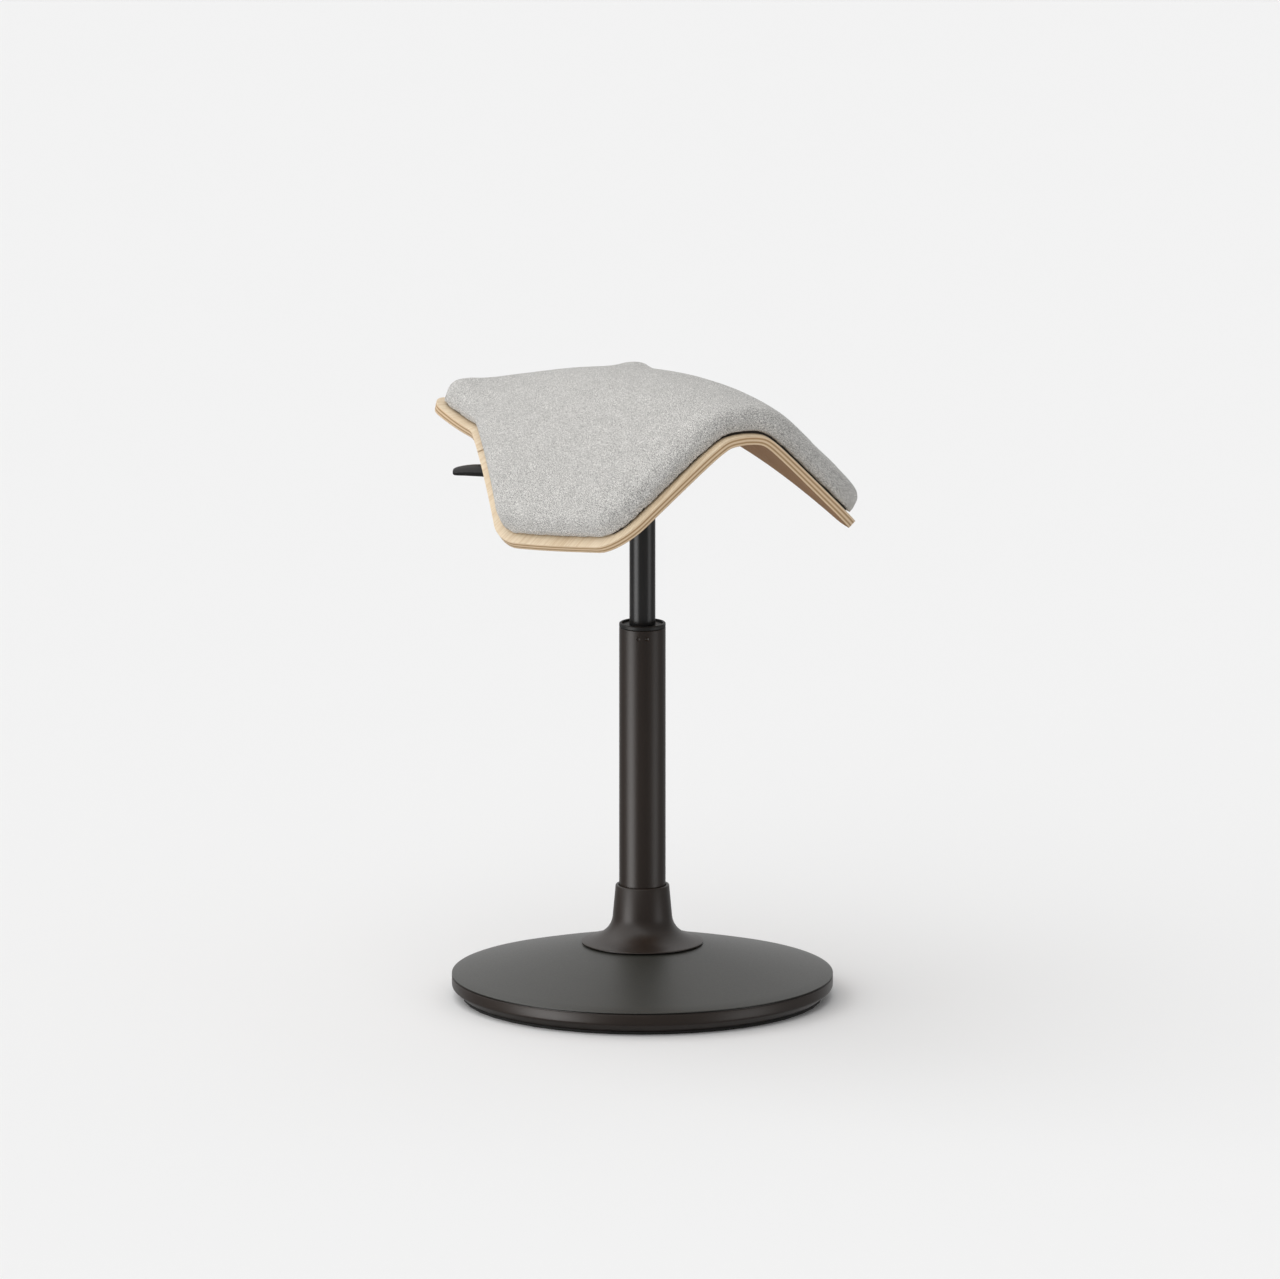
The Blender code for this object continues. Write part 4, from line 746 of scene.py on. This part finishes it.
class SADDLESTOOL_OT_fabric_pad(bpy.types.Operator):
    """Swells the upholstered pad on the shell"""

    bl_idname = "saddlestool.fabric_pad"
    bl_label = "Fabric Pad"

    def execute(self, context):
        settings = context.scene.saddle_stool
        form, pad = settings.form, settings.pad
        cushion = seat_panel("fabric_pad", form, pad.margin)
        rim = rim_of(cushion)
        bpy.ops.mesh.select_all(action="SELECT")
        bpy.ops.mesh.extrude_region_move(TRANSFORM_OT_translate={"value": (0, 0, pad.thickness)})
        bpy.ops.mesh.select_all(action="SELECT")
        bpy.ops.mesh.normals_make_consistent(inside=False)
        for height, rounding in ((pad.thickness, pad.edge), (0.0, pad.foot)):
            pick(
                cushion,
                "EDGE",
                lambda edge: all(abs(point.co.z - height) < 1e-6 for point in edge.verts)
                and any(abs(face.normal.z) < 0.5 for face in edge.link_faces),
            )
            bpy.ops.mesh.bevel(offset=rounding, segments=5, affect="EDGES")
        cut_grid(form, PAD_GRID)
        leave_edit()
        flat = points_of(cushion)
        flat[:, 2] += pad.gap
        set_points(cushion, on_seat(form, flat))
        apply_modifier(cushion, "REMESH", mode="VOXEL", voxel_size=pad.voxel)
        apply_modifier(cushion, "SMOOTH", factor=0.5, iterations=3)
        self.swell(context.scene, cushion, form, pad)
        apply_modifier(cushion, "SUBSURF", levels=1, render_levels=1)
        self.tuck(cushion, form, pad, rim)
        finish(cushion, "seat", ["fabric_cover", "foam_core"], "grey_felted_fabric", smooth=180)
        return {"FINISHED"}

    def tuck(self, cushion, form, pad, rim):
        """Draws the foot of the side wall onto the pad's outline, which the voxels leave uneven."""
        points = points_of(cushion)
        flat = off_seat(form, points)
        flat[:, 2] = np.maximum(flat[:, 2], pad.gap)
        rise = flat[:, 2] - pad.gap
        reach = 2.5 * pad.voxel
        slack = 0.001
        batch = 4000
        low = np.flatnonzero(rise < reach)
        for some in np.array_split(low, 1 + len(low) // batch):
            near, out = nearest_on_rim(rim, flat[some, :2])
            deep = np.sum((near - flat[some, :2]) * out, axis=1)
            wall = deep < rise[some] + slack
            some, near, out, deep = some[wall], near[wall], out[wall], deep[wall]
            under = np.maximum(pad.foot - rise[some], 0)
            rounding = pad.foot - np.sqrt(pad.foot**2 - under**2)
            share = rise[some] / reach
            hold = 1 - share**2 * (3 - 2 * share)
            flat[some, :2] = near - out * (deep + hold * (rounding - deep))[:, None]
        points[low] = on_seat(form, flat[low])
        set_points(cushion, points)

    def swell(self, scene, cushion, form, pad):
        """Blows the cover up against its own cloth, with the underside held, and caps how far it moves."""
        frames = 20
        stiffness = 25
        start = points_of(cushion)
        held = cushion.vertex_groups.new(name="underside")
        low = np.flatnonzero(off_seat(form, start)[:, 2] < pad.gap + pad.foot)
        held.add([int(i) for i in low], 1.0, "REPLACE")
        cloth = cushion.modifiers.new("Cloth", "CLOTH")
        cloth.settings.vertex_group_mass = held.name
        cloth.settings.use_pressure = True
        cloth.settings.uniform_pressure_force = pad.pressure
        cloth.settings.effector_weights.gravity = 0
        cloth.settings.tension_stiffness = stiffness
        cloth.settings.compression_stiffness = stiffness
        cloth.settings.bending_stiffness = 2
        cloth.point_cache.frame_start = 1
        cloth.point_cache.frame_end = frames
        for count in range(1, frames + 1):
            scene.frame_set(count)
        choose(cushion)
        bpy.ops.object.modifier_apply(modifier=cloth.name)
        scene.frame_set(1)
        move = points_of(cushion) - start
        far = np.linalg.norm(move, axis=1, keepdims=True)
        set_points(cushion, start + move * np.minimum(1, pad.reach / np.maximum(far, 1e-9)))


class SADDLESTOOL_OT_disc_base(bpy.types.Operator):
    """Turns the disc base's pan and its shallow cover"""

    bl_idname = "saddlestool.disc_base"
    bl_label = "Disc Base"

    def execute(self, context):
        base = context.scene.saddle_stool.base
        low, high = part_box("base_pan")
        radius = high.x
        foot = radius - base.bevel_width
        rim = low.z + base.bevel_height
        inside = radius - base.wall
        floor = low.z + base.wall
        shelf = high.z - base.wall
        groove = high.z - base.seam
        pan = turned(
            "base_pan_pressing",
            [
                (radius - base.seam, high.z),
                (radius - base.seam, groove),
                (radius, groove, base.rounding / 2),
                (radius, rim, 2 * base.rounding),
                (foot, low.z, base.rounding),
                (base.bore, low.z),
                (base.bore, floor),
                (foot - base.wall / 2, floor),
                (inside, rim + base.wall / 2),
                (inside, shelf),
                (radius - base.lip, shelf),
                (radius - base.lip, high.z),
            ],
            steps=192,
        )
        finish(pan, "base", ["base_pan"], "black_powder_coat")
        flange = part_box("hub_collar")[1].x
        edge_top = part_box("base_cover")[0].z + base.sheet

        def top_at(reach):
            share = (radius - reach) / (radius - flange)
            return edge_top + base.rise * share + 4 * base.crown * share * (1 - share)

        rings = 12
        radii = [radius + (base.cover_bore - radius) * i / rings for i in range(rings + 1)]
        upper = [(reach, top_at(reach)) for reach in radii]
        upper[0] = (*upper[0], base.rounding / 2)
        lower = [(reach, top_at(reach) - base.sheet) for reach in reversed(radii[1:])]
        inner = radius - 2 * base.seam
        lower.append((inner, top_at(inner) - base.sheet))
        lower.append((inner, edge_top - base.seam))
        lower.append((radius, edge_top - base.seam))
        cover = turned("base_cover_pressing", upper + lower, steps=192)
        finish(cover, "base", ["base_cover"], "graphite_powder_coat")
        return {"FINISHED"}


class SADDLESTOOL_OT_lift_column(bpy.types.Operator):
    """Turns the collar, the crimped outer tube, its guide bush, the gas cylinder and its socket"""

    bl_idname = "saddlestool.lift_column"
    bl_label = "Lift Column"

    def execute(self, context):
        settings = context.scene.saddle_stool
        self.collar(settings.column, settings.base)
        self.tube(settings.column, settings.stage)
        self.bush(settings.column)
        self.cylinder(settings.column)
        self.socket(settings.column)
        return {"FINISHED"}

    def collar(self, column, base):
        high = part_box("hub_collar")[1]
        slope = base.rise / (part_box("base_pan")[1].x - high.x)
        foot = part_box("base_cover")[0].z + base.sheet + base.rise + FIT
        neck = Vector((column.neck[0], foot + column.neck[1]))
        elbow = Vector((column.elbow[0], foot + column.elbow[1]))
        gap, deep = column.undercut
        rim = Vector((high.x, foot + gap + column.edge))
        parts = 16
        flare = []
        for i in range(parts + 1):
            share = i / parts
            flare.append((1 - share) ** 2 * neck + 2 * share * (1 - share) * elbow + share**2 * rim)
        outer = [(column.collar_top, high.z, 2 * column.rounding)]
        outer += [(point.x, point.y) for point in flare]
        outer[-1] = (rim.x, rim.y, 0.4 * column.edge)
        lip_bottom = high.z - column.lip
        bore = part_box("column_tube")[1].x + column.gap
        inner = [
            (high.x, foot + gap),
            (high.x - deep, foot + gap + slope * deep),
            (high.x - deep, foot + slope * deep),
            (high.x - 2 * deep, foot + slope * 2 * deep),
        ]
        # The inner wall follows the flare apart from its ends
        ends = 4
        inner += [(point.x, point.y - column.wall) for point in reversed(flare[ends:-ends])]
        inner += [
            (column.neck[0] - column.wall, neck.y - column.wall),
            (column.collar_top - column.wall, lip_bottom),
            (bore, lip_bottom),
            (bore, high.z, column.rounding),
        ]
        collar = turned("column_collar", outer + inner)
        finish(collar, "base", ["hub_collar"], "black_powder_coat", smooth=40)

    def tube(self, column, stage):
        low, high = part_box("column_tube")
        radius = high.x
        inside = radius - column.tube_wall
        draw, taper = column.tube_taper
        thick, drain = column.tube_floor
        foot = radius - draw
        tube = turned(
            "outer_tube",
            [
                (radius, high.z, column.rounding),
                (radius, low.z + taper),
                (foot, low.z, column.rounding),
                (drain, low.z),
                (drain, low.z + thick),
                (foot - column.tube_wall, low.z + thick),
                (inside, low.z + taper),
                (inside, high.z, column.rounding),
            ],
        )
        deselect()
        bpy.ops.mesh.primitive_ico_sphere_add(subdivisions=3, radius=column.dent_radius)
        punch = named("crimp_punch")
        half = column.dent_spread / 2 / radius
        toward = stage.azimuth - math.pi / 2
        stand_off = 0.55 * column.dent_radius
        reach = radius + stand_off
        height = high.z - column.dent_drop
        pairs = 3
        for turn in range(pairs):
            for side in (-1, 1):
                way = toward + math.tau * turn / pairs + side * half
                cutter = copy_of(punch, "crimp_cutter")
                cutter.location = (reach * math.cos(way), reach * math.sin(way), height)
                carve(tube, cutter)
        bpy.data.objects.remove(punch)
        finish(tube, "base", ["column_tube"], "black_powder_coat")

    def bush(self, column):
        low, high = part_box("guide_bush")
        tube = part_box("column_tube")[1]
        sleeve = tube.x - column.tube_wall - FIT
        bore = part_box("gas_cylinder")[1].x + FIT
        head = tube.z + FIT
        rim, deep = column.rim
        bush = turned(
            "guide_bush_moulding",
            [
                (tube.x, high.z, 2 * column.rounding),
                (tube.x, head, column.rounding),
                (sleeve, head),
                (sleeve, low.z),
                (bore, low.z),
                (bore, high.z - deep),
                (tube.x - rim, high.z - deep),
                (tube.x - rim, high.z, column.rounding),
            ],
        )
        finish(bush, "base", ["guide_bush"], "black_plastic")

    def cylinder(self, column):
        low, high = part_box("gas_cylinder")
        radius = high.x
        inside = radius - column.cylinder_wall
        draw, taper = column.cylinder_taper
        head, bore = column.cylinder_head
        cylinder = turned(
            "gas_cylinder_tube",
            [
                (bore, high.z),
                (radius - draw, high.z, column.rounding),
                (radius, high.z - taper),
                (radius, low.z, 2 * column.rounding),
                (inside, low.z),
                (inside, high.z - head),
                (bore, high.z - head),
            ],
        )
        finish(cylinder, "seat", ["gas_cylinder"], "black_cylinder")

    def socket(self, column):
        low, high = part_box("taper_socket")
        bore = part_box("gas_cylinder")[1].x
        wide, thick = column.socket_flange
        seat = high.z - thick
        socket = turned(
            "taper_socket_turning",
            [
                (high.x, high.z, column.rounding),
                (high.x, seat, column.rounding),
                (high.x - wide, seat),
                (high.x - wide, low.z, 2 * column.rounding),
                (bore, low.z, column.rounding),
                (bore, high.z),
            ],
        )
        finish(socket, "seat", ["taper_socket"], "black_powder_coat")


class SADDLESTOOL_OT_seat_mechanism(bpy.types.Operator):
    """Rounds the edges of the mechanism's housing, plate and block"""

    bl_idname = "saddlestool.seat_mechanism"
    bl_label = "Seat Mechanism"

    def execute(self, context):
        self.soften("mech_housing", "folded_housing", 0.0007, "black_powder_coat")
        self.soften("mech_plate", "mounting_plate", 0.0006, "black_powder_coat")
        self.soften("saddle_block", "moulded_saddle_block", 0.0008, "black_plastic")
        return {"FINISHED"}

    def soften(self, node, name, width, slot):
        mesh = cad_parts[node].data.copy()
        mesh.name = name
        piece = bpy.data.objects.new(name, mesh)
        bpy.context.scene.collection.objects.link(piece)
        edit(piece)
        bpy.ops.mesh.select_all(action="SELECT")
        bpy.ops.mesh.remove_doubles(threshold=1e-5)
        bpy.ops.mesh.dissolve_limited(angle_limit=math.radians(1))
        leave_edit()
        round_edges(piece, width, 50, use_clamp_overlap=False)
        finish(piece, "seat", [node], slot)


class SADDLESTOOL_OT_height_lever(bpy.types.Operator):
    """Bends the height lever's rod and moulds its paddle"""

    bl_idname = "saddlestool.height_lever"
    bl_label = "Height Lever"

    def execute(self, context):
        lever = context.scene.saddle_stool.lever
        pivot = (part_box("lever_pin")[0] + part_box("lever_pin")[1]) / 2
        heading = Vector((math.cos(lever.heading), math.sin(lever.heading), 0))
        root = pivot + heading * (lever.reach - lever.paddle[0]) - Vector((0, 0, lever.drop))
        rod = self.rod(lever, pivot, root, heading)
        barrel = self.barrel(lever, pivot)
        tongue = self.tongue(lever, pivot)
        deselect()
        for part in (barrel, tongue, rod):
            part.select_set(True)
        bpy.context.view_layer.objects.active = rod
        bpy.ops.object.join()
        finish(named("lever_bent_arm"), "lever", ["lever_arm"], "black_powder_coat")
        self.paddle(lever, root)
        return {"FINISHED"}

    def rod(self, lever, pivot, root, heading):
        """The bent rod, from the barrel into the paddle."""
        start = pivot - Vector((lever.barrel / 2, 0, 0))
        end = root + heading * lever.grip
        deselect()
        bpy.ops.curve.primitive_bezier_curve_add()
        rod = named("lever_rod")
        rod.data.bevel_depth = lever.rod
        rod.data.bevel_resolution = 6
        rod.data.resolution_u = 32
        rod.data.use_fill_caps = True
        pulls = ((start, Vector((-lever.start_run, 0, 0))), (end, heading * lever.end_run))
        for point, (place, pull) in zip(rod.data.splines[0].bezier_points, pulls):
            point.handle_left_type = "FREE"
            point.handle_right_type = "FREE"
            point.co = place
            point.handle_left = place - pull
            point.handle_right = place + pull
        choose(rod)
        bpy.ops.object.convert(target="MESH")
        return bpy.context.object

    def barrel(self, lever, pivot):
        """The barrel between the housing's cheeks, bored for the pivot pin."""
        low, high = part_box("lever_pin")
        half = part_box("mech_housing")[1].y - lever.cheek
        across = (math.pi / 2, 0, 0)
        deselect()
        bpy.ops.mesh.primitive_cylinder_add(
            vertices=48, radius=lever.barrel, depth=2 * half, location=pivot, rotation=across
        )
        barrel = named("lever_barrel")
        deselect()
        bpy.ops.mesh.primitive_cylinder_add(
            vertices=32, radius=(high.x - low.x) / 2 + FIT, depth=3 * half, location=pivot, rotation=across
        )
        carve(barrel, named("pin_bore"))
        choose(barrel)
        bpy.ops.object.transform_apply(location=True, rotation=True, scale=True)
        round_edges(barrel, width=0.0006, degrees=60)
        return barrel

    def tongue(self, lever, pivot):
        """The tongue that presses the valve's pin."""
        root = 0.8 * lever.barrel
        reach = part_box("lever_arm")[1].x - pivot.x - root
        deselect()
        bpy.ops.mesh.primitive_cube_add(size=1)
        tongue = named("lever_tongue")
        edit(tongue)
        bpy.ops.transform.resize(value=(reach, *lever.tongue))
        bpy.ops.transform.translate(value=pivot + Vector((root + reach / 2, 0, 0)))
        leave_edit()
        round_edges(tongue, width=0.0008, degrees=60)
        return tongue

    def paddle(self, lever, root):
        """The grip: thinner and narrower towards its tip, which curves down, with a ridge along each side."""
        long, wide, high = lever.paddle
        parts = 6
        deselect()
        bpy.ops.mesh.primitive_cube_add(size=1)
        paddle = named("lever_paddle_grip")
        edit(paddle)
        for i in range(1, parts):
            slice_at((i / parts - 0.5, 0, 0), (1, 0, 0))
        slice_at((0, 0, 0), (0, 0, 1))
        pick(
            paddle,
            "EDGE",
            lambda edge: all(abs(point.co.z) < 1e-5 and abs(point.co.y) > 0.4 for point in edge.verts)
            and abs(edge.verts[0].co.x - edge.verts[1].co.x) > 0.05,
        )
        bpy.ops.transform.edge_crease(value=0.65)
        leave_edit()
        points = points_of(paddle)
        thick_root, thinning, narrowing, overhang = 1.12, 0.45, 0.25, 0.32
        share = points[:, 0] + 0.5
        taper = thick_root - thinning * share**3
        narrow = 1 - overhang * np.abs(2 * points[:, 2])
        points[:, 0] = share * long
        points[:, 1] *= wide * (1 - narrowing * share**3) * narrow
        points[:, 2] = points[:, 2] * high * taper - lever.tip_drop * share**3
        set_points(paddle, points)
        apply_modifier(paddle, "SUBSURF", levels=3, render_levels=3)
        paddle.data.transform(Matrix.Translation(root) @ Matrix.Rotation(lever.heading, 4, "Z"))
        finish(paddle, "lever", ["lever_paddle"], "black_plastic", smooth=60)


class SADDLESTOOL_OT_screws(bpy.types.Operator):
    """Copies the socket head screws under the seat"""

    bl_idname = "saddlestool.screws"
    bl_label = "Screws"

    def execute(self, context):
        form = context.scene.saddle_stool.form
        bolt_height = 0.0045
        bolt = self.socket_head("bolt_head", radius=0.0062, height=bolt_height, shank=0.0030)
        for i in range(1, 5):
            low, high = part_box(f"mech_bolt_{i}")
            place = Vector(((low.x + high.x) / 2, (low.y + high.y) / 2, low.z + bolt_height))
            self.put(bolt, f"plate_bolt_{i}", Matrix.Translation(place), f"mech_bolt_{i}")
        bpy.data.objects.remove(bolt)
        screw_height = 0.0028
        screw = self.socket_head("screw_head", radius=0.0045, height=screw_height, shank=0.0020)
        for i in range(1, 5):
            flat = off_seat(form, points_of(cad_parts[f"pad_screw_{i}"]))
            middle = np.array([[flat[:, 0].mean(), flat[:, 1].mean(), flat[:, 2].min() + screw_height]])
            normal = Vector(seat_normal(form, middle[:, 0], middle[:, 1])[0])
            turn = Vector((0, 0, 1)).rotation_difference(normal).to_matrix().to_4x4()
            place = Matrix.Translation(Vector(on_seat(form, middle)[0]))
            self.put(screw, f"shell_screw_{i}", place @ turn, f"pad_screw_{i}")
        bpy.data.objects.remove(screw)
        return {"FINISHED"}

    def socket_head(self, name, radius, height, shank):
        """A round head under the origin with a hexagon socket, and the start of its shank above."""
        deselect()
        bpy.ops.mesh.primitive_cylinder_add(vertices=40, radius=radius, depth=height)
        head = named(name)
        edit(head)
        bpy.ops.mesh.select_all(action="SELECT")
        bpy.ops.transform.translate(value=(0, 0, -height / 2))
        pick(head, "FACE", lambda face: face.normal.z > 0.9)
        bpy.ops.mesh.inset(thickness=radius - shank)
        bpy.ops.mesh.extrude_region_move(TRANSFORM_OT_translate={"value": (0, 0, height)})
        leave_edit()
        key_size, rounding = 0.52 * radius, 0.08 * radius
        deselect()
        bpy.ops.mesh.primitive_cylinder_add(
            vertices=6, radius=key_size, depth=height, location=(0, 0, -height)
        )
        carve(head, named("hexagon_key"))
        round_edges(head, rounding, 40, use_clamp_overlap=False)
        return head

    def put(self, head, name, matrix, node):
        copy = copy_of(head, name)
        copy.data.transform(matrix)
        finish(copy, "seat", [node], "zinc_steel")


class SADDLESTOOL_OT_inner_parts(bpy.types.Operator):
    """Gives the solids that keep their shape their real finishes"""

    bl_idname = "saddlestool.inner_parts"
    bl_label = "Inner Parts"

    def execute(self, context):
        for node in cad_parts.values():
            for slot in node.material_slots:
                slot.material = finish_for(slot.material.name)
        return {"FINISHED"}


class SADDLESTOOL_OT_stage(bpy.types.Operator):
    """Sets the pale floor, the soft studio light and the camera"""

    bl_idname = "saddlestool.stage"
    bl_label = "Stage"

    def execute(self, context):
        stage = context.scene.saddle_stool.stage
        turn, lift = stage.azimuth, stage.elevation
        right = Vector((math.cos(turn), math.sin(turn), 0))
        toward = Vector((math.sin(turn), -math.cos(turn), 0))
        up = Vector((0, 0, 1))
        back = Vector((math.sin(turn) * math.cos(lift), -math.cos(turn) * math.cos(lift), math.sin(lift)))
        self.floor(stage)
        self.room(context.scene, stage, right, toward, up)
        key_way = -0.75 * right + 0.30 * toward + up
        self.key(stage, key_way)
        self.camera(context.scene, stage, right, back)
        return {"FINISHED"}

    def floor(self, stage):
        deselect()
        bpy.ops.mesh.primitive_plane_add(size=80)
        floor = named("studio_floor")
        # Matt painted board: no gloss, so it stays even from the front to the back. It is clear from
        # underneath, so that the stool can be looked at from below.
        material, tree, shader, place = start_material("Matt Painted Board", roughness=0.95, ior=1.3)
        faded = tuple(0.995 * part for part in stage.floor)
        tone = blend(tree, noise(tree, place, 3.0), tuple(stage.floor), faded)
        tree.links.new(tone, shader.inputs["Base Color"])
        below = add_node(tree, "ShaderNodeNewGeometry").outputs["Backfacing"]
        clear = add_node(tree, "ShaderNodeBsdfTransparent").outputs[0]
        surface = add_node(tree, "ShaderNodeMixShader", {0: below, 1: shader.outputs[0], 2: clear})
        tree.links.new(surface.outputs[0], tree.nodes["Material Output"].inputs["Surface"])
        floor.data.materials.append(material)
        floor.visible_glossy = False

    def room(self, scene, stage, right, toward, up):
        """The light all round: a pale sweep behind, a soft ceiling, a dimmer room and two strip lights."""
        scene.view_settings.view_transform = "Standard"
        world = bpy.data.worlds.new("Studio")
        world.use_nodes = True
        scene.world = world
        tree = world.node_tree
        direction = add_node(tree, "ShaderNodeTexCoord").outputs["Generated"]

        def patch(way, wide, narrow, low, high):
            """Fades from low to high between two angles round a direction."""
            inputs = {0: direction, 1: way.normalized()}
            along = add_node(tree, "ShaderNodeVectorMath", inputs, operation="DOT_PRODUCT").outputs["Value"]
            limits = [math.cos(math.radians(degrees)) for degrees in (wide, narrow)]
            return ramp(tree, along, *limits, low, high, interpolation_type="SMOOTHSTEP")

        sweep_way = 0.4 * up - toward
        fill_way = right + 0.35 * toward + 0.35 * up
        strip_drop = 0.21
        total = patch(sweep_way, 62, 28, stage.room, stage.backdrop)
        lights = [patch(up, 75, 20, 0, stage.ceiling)]
        lights.append(patch(fill_way, 70, 20, 0, stage.fill))
        for turn, wide, narrow, bright in zip((-58, 66), (25, 20), (10, 6), stage.strips):
            across = math.radians(turn)
            way = math.cos(across) * toward + math.sin(across) * right - strip_drop * up
            lights.append(patch(way, wide, narrow, 0, bright))
        for glow in lights:
            total = reckon(tree, "ADD", total, glow)
        seen = add_node(tree, "ShaderNodeLightPath").outputs["Is Camera Ray"]
        shown = add_node(tree, "ShaderNodeMix", {0: seen, 2: total, 3: stage.sweep}).outputs[0]
        tree.links.new(shown, tree.nodes["Background"].inputs["Strength"])
        tree.nodes["Background"].inputs["Color"].default_value = (1.0, 1.0, 1.0, 1.0)

    def key(self, stage, way):
        """A light so large that its shadows have no edge."""
        distance = 3
        deselect()
        bpy.ops.object.light_add(type="SUN", location=distance * way)
        light = named("key_light")
        light.data.energy = stage.key
        light.data.angle = math.radians(100)
        light.rotation_euler = way.to_track_quat("Z", "Y").to_euler()

    def camera(self, scene, stage, right, back):
        height, shift = stage.aim
        deselect()
        bpy.ops.object.camera_add()
        camera = named("photo_camera")
        camera.data.lens = stage.lens
        camera.data.clip_end = 400
        aim = Vector((0, 0, height)) + shift * right
        camera.location = aim + back * stage.field * stage.lens / camera.data.sensor_width
        camera.rotation_euler = back.to_track_quat("Z", "Y").to_euler()
        scene.camera = camera


OPERATORS = (
    SADDLESTOOL_OT_stage,
    SADDLESTOOL_OT_inner_parts,
    SADDLESTOOL_OT_plywood_shell,
    SADDLESTOOL_OT_fabric_pad,
    SADDLESTOOL_OT_disc_base,
    SADDLESTOOL_OT_lift_column,
    SADDLESTOOL_OT_seat_mechanism,
    SADDLESTOOL_OT_height_lever,
    SADDLESTOOL_OT_screws,
)


class SADDLESTOOL_PT_looks(bpy.types.Panel):
    """Lists the pieces of the stool's look"""

    bl_idname = "SADDLESTOOL_PT_looks"
    bl_label = "Saddle Stool"
    bl_space_type = "VIEW_3D"
    bl_region_type = "UI"
    bl_category = "Saddle Stool"

    def draw(self, context):
        for operator in OPERATORS:
            self.layout.operator(operator.bl_idname)


CLASSES = (
    SaddleForm,
    PlywoodSettings,
    PadSettings,
    BaseSettings,
    ColumnSettings,
    LeverSettings,
    StageSettings,
    StoolSettings,
    *OPERATORS,
    SADDLESTOOL_PT_looks,
)


def register():
    for item in CLASSES:
        bpy.utils.register_class(item)
    bpy.types.Scene.saddle_stool = bpy.props.PointerProperty(type=StoolSettings)


def unregister():
    del bpy.types.Scene.saddle_stool
    for item in reversed(CLASSES):
        bpy.utils.unregister_class(item)


def main():
    register()
    bpy.ops.saddlestool.stage()
    bpy.ops.saddlestool.inner_parts()
    bpy.ops.saddlestool.plywood_shell()
    bpy.ops.saddlestool.fabric_pad()
    bpy.ops.saddlestool.disc_base()
    bpy.ops.saddlestool.lift_column()
    bpy.ops.saddlestool.seat_mechanism()
    bpy.ops.saddlestool.height_lever()
    bpy.ops.saddlestool.screws()


if __name__ == "__main__":
    main()
